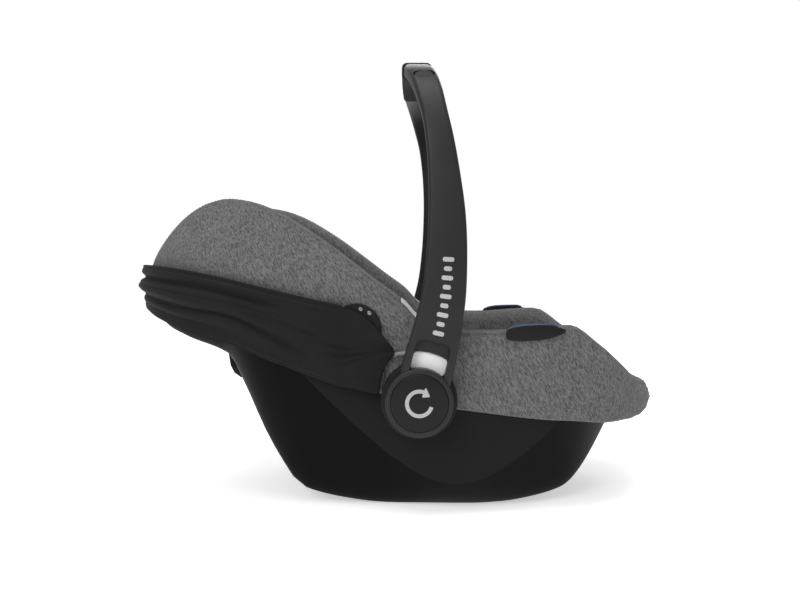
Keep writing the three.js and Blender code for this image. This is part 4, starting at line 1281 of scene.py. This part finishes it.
def make_head_support(seat):
    """The horseshoe pillow round the head: a thick roll about a hollow with a thin base."""

    def top(x, y):
        ahead = max(0, HEAD_PAD["hollow_head"] + 34 - x)
        away = math.hypot(max(0, abs(y) - 34), ahead)
        roll = float(smooth_step(4, 34, away))
        fall = 26 * max(0, (abs(y) - 84) / 28) ** 2 + 14 * max(0, (-258 - x) / 25) ** 2
        rise = HEAD_PAD["base"] + (HEAD_PAD["rise"] - HEAD_PAD["base"] - 3) * roll
        return float(FLOOR(x)) + rise - fall * roll

    pad = swollen(lying_pad("head_support_pillow", HEAD_PAD, seat, top, power=2.6), seat, cap=3)
    finish(pad, PAD_KNIT, "pad_cloth", "shell", "head_support")
    half_hollow = [(-160, -36), (-200, -38), (-222, -34), (-238, -20), (-243, 0)]
    route = resampled(mirrored(np.array(half_hollow)), 120)
    sewn = stitches("head_support_stitching", *laid(surface_under(pad), route))
    finish(sewn, THREAD, "pad_cloth", "shell")


def make_slots(surface, centres, name):
    """Bound buttonholes that the straps come out of, each with a thin dark sheet over its opening: painted
    shade for the dark inside of the hole.
    """
    borders, shade_sheets = [], []
    for centre in centres:
        around = superellipse(np.linspace(0, 2 * math.pi, 60), 10 / 3) * [6, 24]
        path, _ = laid(surface, around + centre, lift=0.9)
        borders.append(tube("border", path, 1.7, sides=10))
        # A dark cloth sheet laid just over the pad inside the border: painted shade where the hole would be
        # dark.
        rows = [laid(surface, around * k + centre, lift=0.35)[0] for k in (0.05, 0.5, 0.98)]
        shade_sheets.append(thickened(grid("mouth", rows), 0.4))
    finish(joined(name + "_border", borders), COVER_KNIT, "cover_knit", "shell")
    finish(joined(name + "_painted_shade", shade_sheets), CANOPY_CLOTH, "canopy_cloth", "shell")


# ---------- harness ----------
STRAP = {"width": 34, "thick": 2, "spread": 45, "join": 22, "slot": -137, "slot_front": -128, "end": -22,
         "crotch": 96}
BUCKLE = {"x": 38, "long": 62, "wide": 46, "thick": 17, "slope": -0.25}
TONGUE = {"x": 2, "long": 34}
ADJUSTER = {"x": 160, "long": 54, "wide": 46, "thick": 12}


def strap_line(x):
    return insert_top(x) + 4


def strap_spread(x):
    share = (max(x, STRAP["slot_front"]) - STRAP["slot_front"]) / (STRAP["end"] - STRAP["slot_front"])
    return STRAP["spread"] + share * (STRAP["join"] - STRAP["spread"])


def ribbon(name, path, width, thick, crown=0.0, corner=0.5):
    """A flat band along points (x, y, z), its width across Y; crown swells its upper face."""
    path = np.asarray(path, float)
    rows = []
    for i, (centre, along) in enumerate(zip(path, unit(np.gradient(path, axis=0)))):
        across = unit(np.array([0.0, 1, 0]) - along * along[1])
        out = np.cross(along, across)
        ends = min(1, 0.35 + min(i, len(path) - 1 - i) / 3) if crown else 1
        half_wide, half_thick = width / 2 * (0.9 + 0.1 * ends), thick / 2 * ends
        box = box_outline(half_wide, half_thick)
        outline = []
        for (a, b), (c, d) in zip(box, box[1:] + box[:1]):
            outline += [(a + (c - a) * t, b + (d - b) * t) for t in np.linspace(0, 1, 7)[:-1]]
        outline = rounded(outline, corner * half_thick, steps=2)
        swell = [crown * ends * (1 - (u / half_wide) ** 2) if v > 0 else 0 for u, v in outline]
        rows.append([centre + across * u + out * (v + s) for (u, v), s in zip(outline, swell)])
    return grid(name, rows, around=True, caps=True)


def make_shoulder_straps():
    """The shoulder straps, each out of its slot and under a chest pad."""
    for side, sign in SIDES:
        slot, floor = STRAP["slot"], float(FLOOR(STRAP["slot"]))
        line = [(slot, floor - 34), (slot, floor + 8), (slot + 3, strap_line(slot) - 1)]
        line += [(x, strap_line(x) + 1) for x in (-128, -112, -90, -65, -40, -22)]
        path = [(x, sign * strap_spread(x), z) for x, z in resampled(line, 60)]
        band = ribbon(f"shoulder_strap_{side}_webbing", path, STRAP["width"], STRAP["thick"])
        finish(band, WEBBING, "webbing", "shell", f"shoulder_strap_{side}")
        make_chest_pad(side, sign)


def make_chest_pad(side, sign):
    path = [(x, sign * strap_spread(x), strap_line(x) + 7.2) for x in np.linspace(-112, -42, 24)]
    sleeve = ribbon(f"chest_pad_{side}_sleeve", path, 39, 8, crown=1.6, corner=0.9)
    pad = swollen(sleeve, voxel=3, cap=1.2)
    finish(pad, PAD_KNIT, "pad_cloth", "shell", f"chest_pad_{side}")
    surface = surface_under(pad)
    sewn = []
    for edge in (-15.5, 15.5):
        route = [(x, sign * strap_spread(x) + edge) for x in np.linspace(-106, -48, 40)]
        sewn.append(stitches("edge", *laid(surface, route)))
    finish(joined(f"chest_pad_{side}_stitching", sewn), THREAD, "pad_cloth", "shell")


def on_slope(name, outline, low, high, place, angle, edge=1.0, segments=3):
    """An outline of (along, across) points, extruded from low to high above a slope through place (x, z)."""
    c, s = math.cos(angle), math.sin(angle)
    rows = [[(place[0] + a * c - h * s, b, place[1] + a * s + h * c) for a, b in outline]
            for h in (low, high)]
    made = grid(name, rows, around=True, caps=True)
    return bevelled(made, edge, segments) if edge else made


def rectangle(long, wide, middle=(0, 0), taper=0.0):
    a, b = middle
    return [(a - long / 2, b - wide / 2), (a + long / 2, b - wide / 2 + taper),
            (a + long / 2, b + wide / 2 - taper), (a - long / 2, b + wide / 2)]


def make_buckle():
    """The buckle on its slope, with a wide mouth for the two tongues and a dished red button."""
    slope = (BUCKLE["x"], strap_line(BUCKLE["x"]) + 12), math.atan(BUCKLE["slope"])
    half = BUCKLE["thick"] / 2
    outline = rounded(rectangle(BUCKLE["long"], BUCKLE["wide"], taper=5), 10, steps=9)
    body = on_slope("buckle_body_case", outline, -half, half, *slope, edge=3.2, segments=5)
    recess = rounded(rectangle(26.8, 26.8, middle=(7.8, 0)), 5)
    boolean(body, on_slope("cut", recess, 2, 20, *slope, edge=0))
    boolean(body, on_slope("cut", rectangle(24, 40, middle=(-27, 0)), -2.5, 2.5, *slope, edge=0))
    finish(bevelled(body, 0.5, segments=2, angle=50), TRIM_PLASTIC, "shell_plastic", "shell", "buckle_body")
    face = rounded(rectangle(26, 26, middle=(9, 0)), 4.5, steps=8)
    button = on_slope("buckle_button_cap", face, 4.2, 10.2, *slope, edge=1.4, segments=4)
    dish = rounded(rectangle(17, 19, middle=(9, 0)), 6)
    boolean(button, on_slope("cut", dish, 9.6, 14, *slope, edge=0))
    button = bevelled(button, 0.35, segments=2, angle=50)
    finish(button, RED_PLASTIC, "red_plastic", "buckle_button", "buckle_button")
    for side, sign in SIDES:
        shift = TONGUE["x"] - BUCKLE["x"]
        blade = rounded(rectangle(TONGUE["long"], 17, middle=(shift, sign * 9.4)), 3)
        eye = rounded(rectangle(17, 19, middle=(shift - 20, sign * 13)), 4.5, steps=8)
        parts = [on_slope("blade", blade, -1.2, 1.2, *slope, edge=0.5, segments=2),
                 on_slope("eye", eye, -1.9, 1.9, *slope, edge=0.9)]
        finish(joined(f"buckle_tongue_{side}_plate", parts), STEEL, "steel", "shell", f"buckle_tongue_{side}")


def make_crotch_strap(seat):
    x, floor, level = STRAP["crotch"], float(FLOOR(STRAP["crotch"])), insert_top(60) + 9
    line = [(x, floor - 30), (x, floor + 14), (x - 4, floor + 22), (x - 14, level - 1),
            (BUCKLE["x"] + BUCKLE["long"] / 2 + 1, level)]
    path = [(a, 0, b) for a, b in resampled(line, 44)]
    band = ribbon("crotch_strap_webbing", path, STRAP["width"], STRAP["thick"])
    finish(band, WEBBING, "webbing", "shell", "crotch_strap")
    make_slots(seat, [(x, 0)], "crotch_slot")


def make_adjuster():
    """The harness adjuster in the seat's front, with a ribbed lever in its housing."""
    x = ADJUSTER["x"]
    slope = (x, float(FLOOR(x))), math.atan2(float(FLOOR(x + 20) - FLOOR(x - 20)), 40)
    outline = rounded(rectangle(ADJUSTER["long"], ADJUSTER["wide"]), 9, steps=9)
    housing = on_slope("adjuster_housing_case", outline, 2.7, 15, *slope, edge=2.4, segments=4)
    recess = rounded(rectangle(34, 30, middle=(1.7, 0)), 4)
    boolean(housing, on_slope("cut", recess, 8, 30, *slope, edge=0))
    housing = bevelled(housing, 0.5, segments=2, angle=50)
    finish(housing, TRIM_PLASTIC, "shell_plastic", "shell", "adjuster_housing")
    face = rounded(rectangle(32.5, 28.5, middle=(4.9, 0)), 3.5)
    parts = [on_slope("face", face, 11.4, 15.4, *slope, edge=1.1)]
    for along in np.arange(-6, 15, 3.5):
        rib = rounded(rectangle(1.5, 20, middle=(4.9 + along, 0)), 0.7)
        parts.append(on_slope("rib", rib, 15, 16.2, *slope, edge=0.4, segments=2))
    paddle = joined("adjuster_lever_paddle", parts)
    finish(paddle, GREY_PLASTIC, "grey_plastic", "adjuster_lever", "adjuster_lever")


def make_seat_interior(cover):
    seat = surface_under(cover)
    make_insert(seat)
    make_head_support(seat)
    make_shoulder_straps()
    make_buckle()
    make_crotch_strap(seat)
    make_adjuster()
    for node, material in (("harness_yoke", STEEL), ("adjuster_strap", WEBBING)):
        keep_cad(node, material)


# ---------- lights, camera and floor ----------
# Place in millimetres, lens in millimetres, and the angles down and to the left in degrees.
CAMERA = {"place": (18.3, -1250, 317.2), "lens": 41.625, "down": 3.341, "turn": 0.62}


def add_camera():
    data = bpy.data.cameras.new("camera")
    data.lens = CAMERA["lens"]
    data.clip_start = 0.01
    camera = bpy.data.objects.new("camera", data)
    COLLECTION.objects.link(camera)
    camera.location = Vector(CAMERA["place"]) * MM
    camera.rotation_euler = (math.radians(90 - CAMERA["down"]), 0, math.radians(CAMERA["turn"]))
    bpy.context.scene.camera = camera


def add_area(name, place, size, power):
    """A rectangular light, in metres, that points at the middle of the object."""
    data = bpy.data.lights.new(name, "AREA")
    data.shape = "RECTANGLE"
    data.size, data.size_y = size
    data.energy = power
    light = bpy.data.objects.new(name, data)
    COLLECTION.objects.link(light)
    light.location = place
    light.rotation_euler = (Vector((0, 0, 0.22)) - Vector(place)).to_track_quat("-Z", "Y").to_euler()


def add_world():
    """A world that looks white to the camera and lights the object at half that strength."""
    world = bpy.data.worlds.new("studio")
    world.use_nodes = True
    tree = world.node_tree
    background = tree.nodes["Background"]
    background.inputs["Color"].default_value = (1, 1, 1, 1)
    level = tree.nodes.new("ShaderNodeMapRange")
    level.inputs["To Min"].default_value = 0.5
    tree.links.new(tree.nodes.new("ShaderNodeLightPath").outputs["Is Camera Ray"], level.inputs["Value"])
    tree.links.new(level.outputs[0], background.inputs["Strength"])
    bpy.context.scene.world = world


def add_studio():
    """The lights, and a pale floor that shines a little so that it has no visible horizon."""
    add_world()
    bpy.context.scene.view_settings.view_transform = "Standard"
    add_area("overhead", (-0.2, -0.5, 2.4), (1.8, 1.8), 34)
    add_area("key", (-0.9, -2.2, 1.6), (1.2, 1.2), 22)
    add_area("back", (0.3, 2.0, 1.6), (2.0, 0.8), 14)
    far = 4000
    corners = [(-far, -far, 0), (far, -far, 0), (far, far, 0), (-far, far, 0)]
    floor = mesh_object("floor", corners, [(0, 1, 2, 3)], smooth=False)
    look = Look("pale floor", roughness=0.9, Emission_Strength=0.5, Emission_Color=(1, 1, 1, 1))
    look.colour(look.ramp(look.noise(3), [(0.3, 0.93), (0.7, 0.95)]))
    floor.data.materials.append(look.material)


make_shell()
seat_cover = make_cover()
make_canopy()
make_canopy_frame()
make_handle()
make_hubs()
make_guides()
make_rim_tabs()
make_rear_hook()
make_seat_interior(seat_cover)
add_camera()
add_studio()
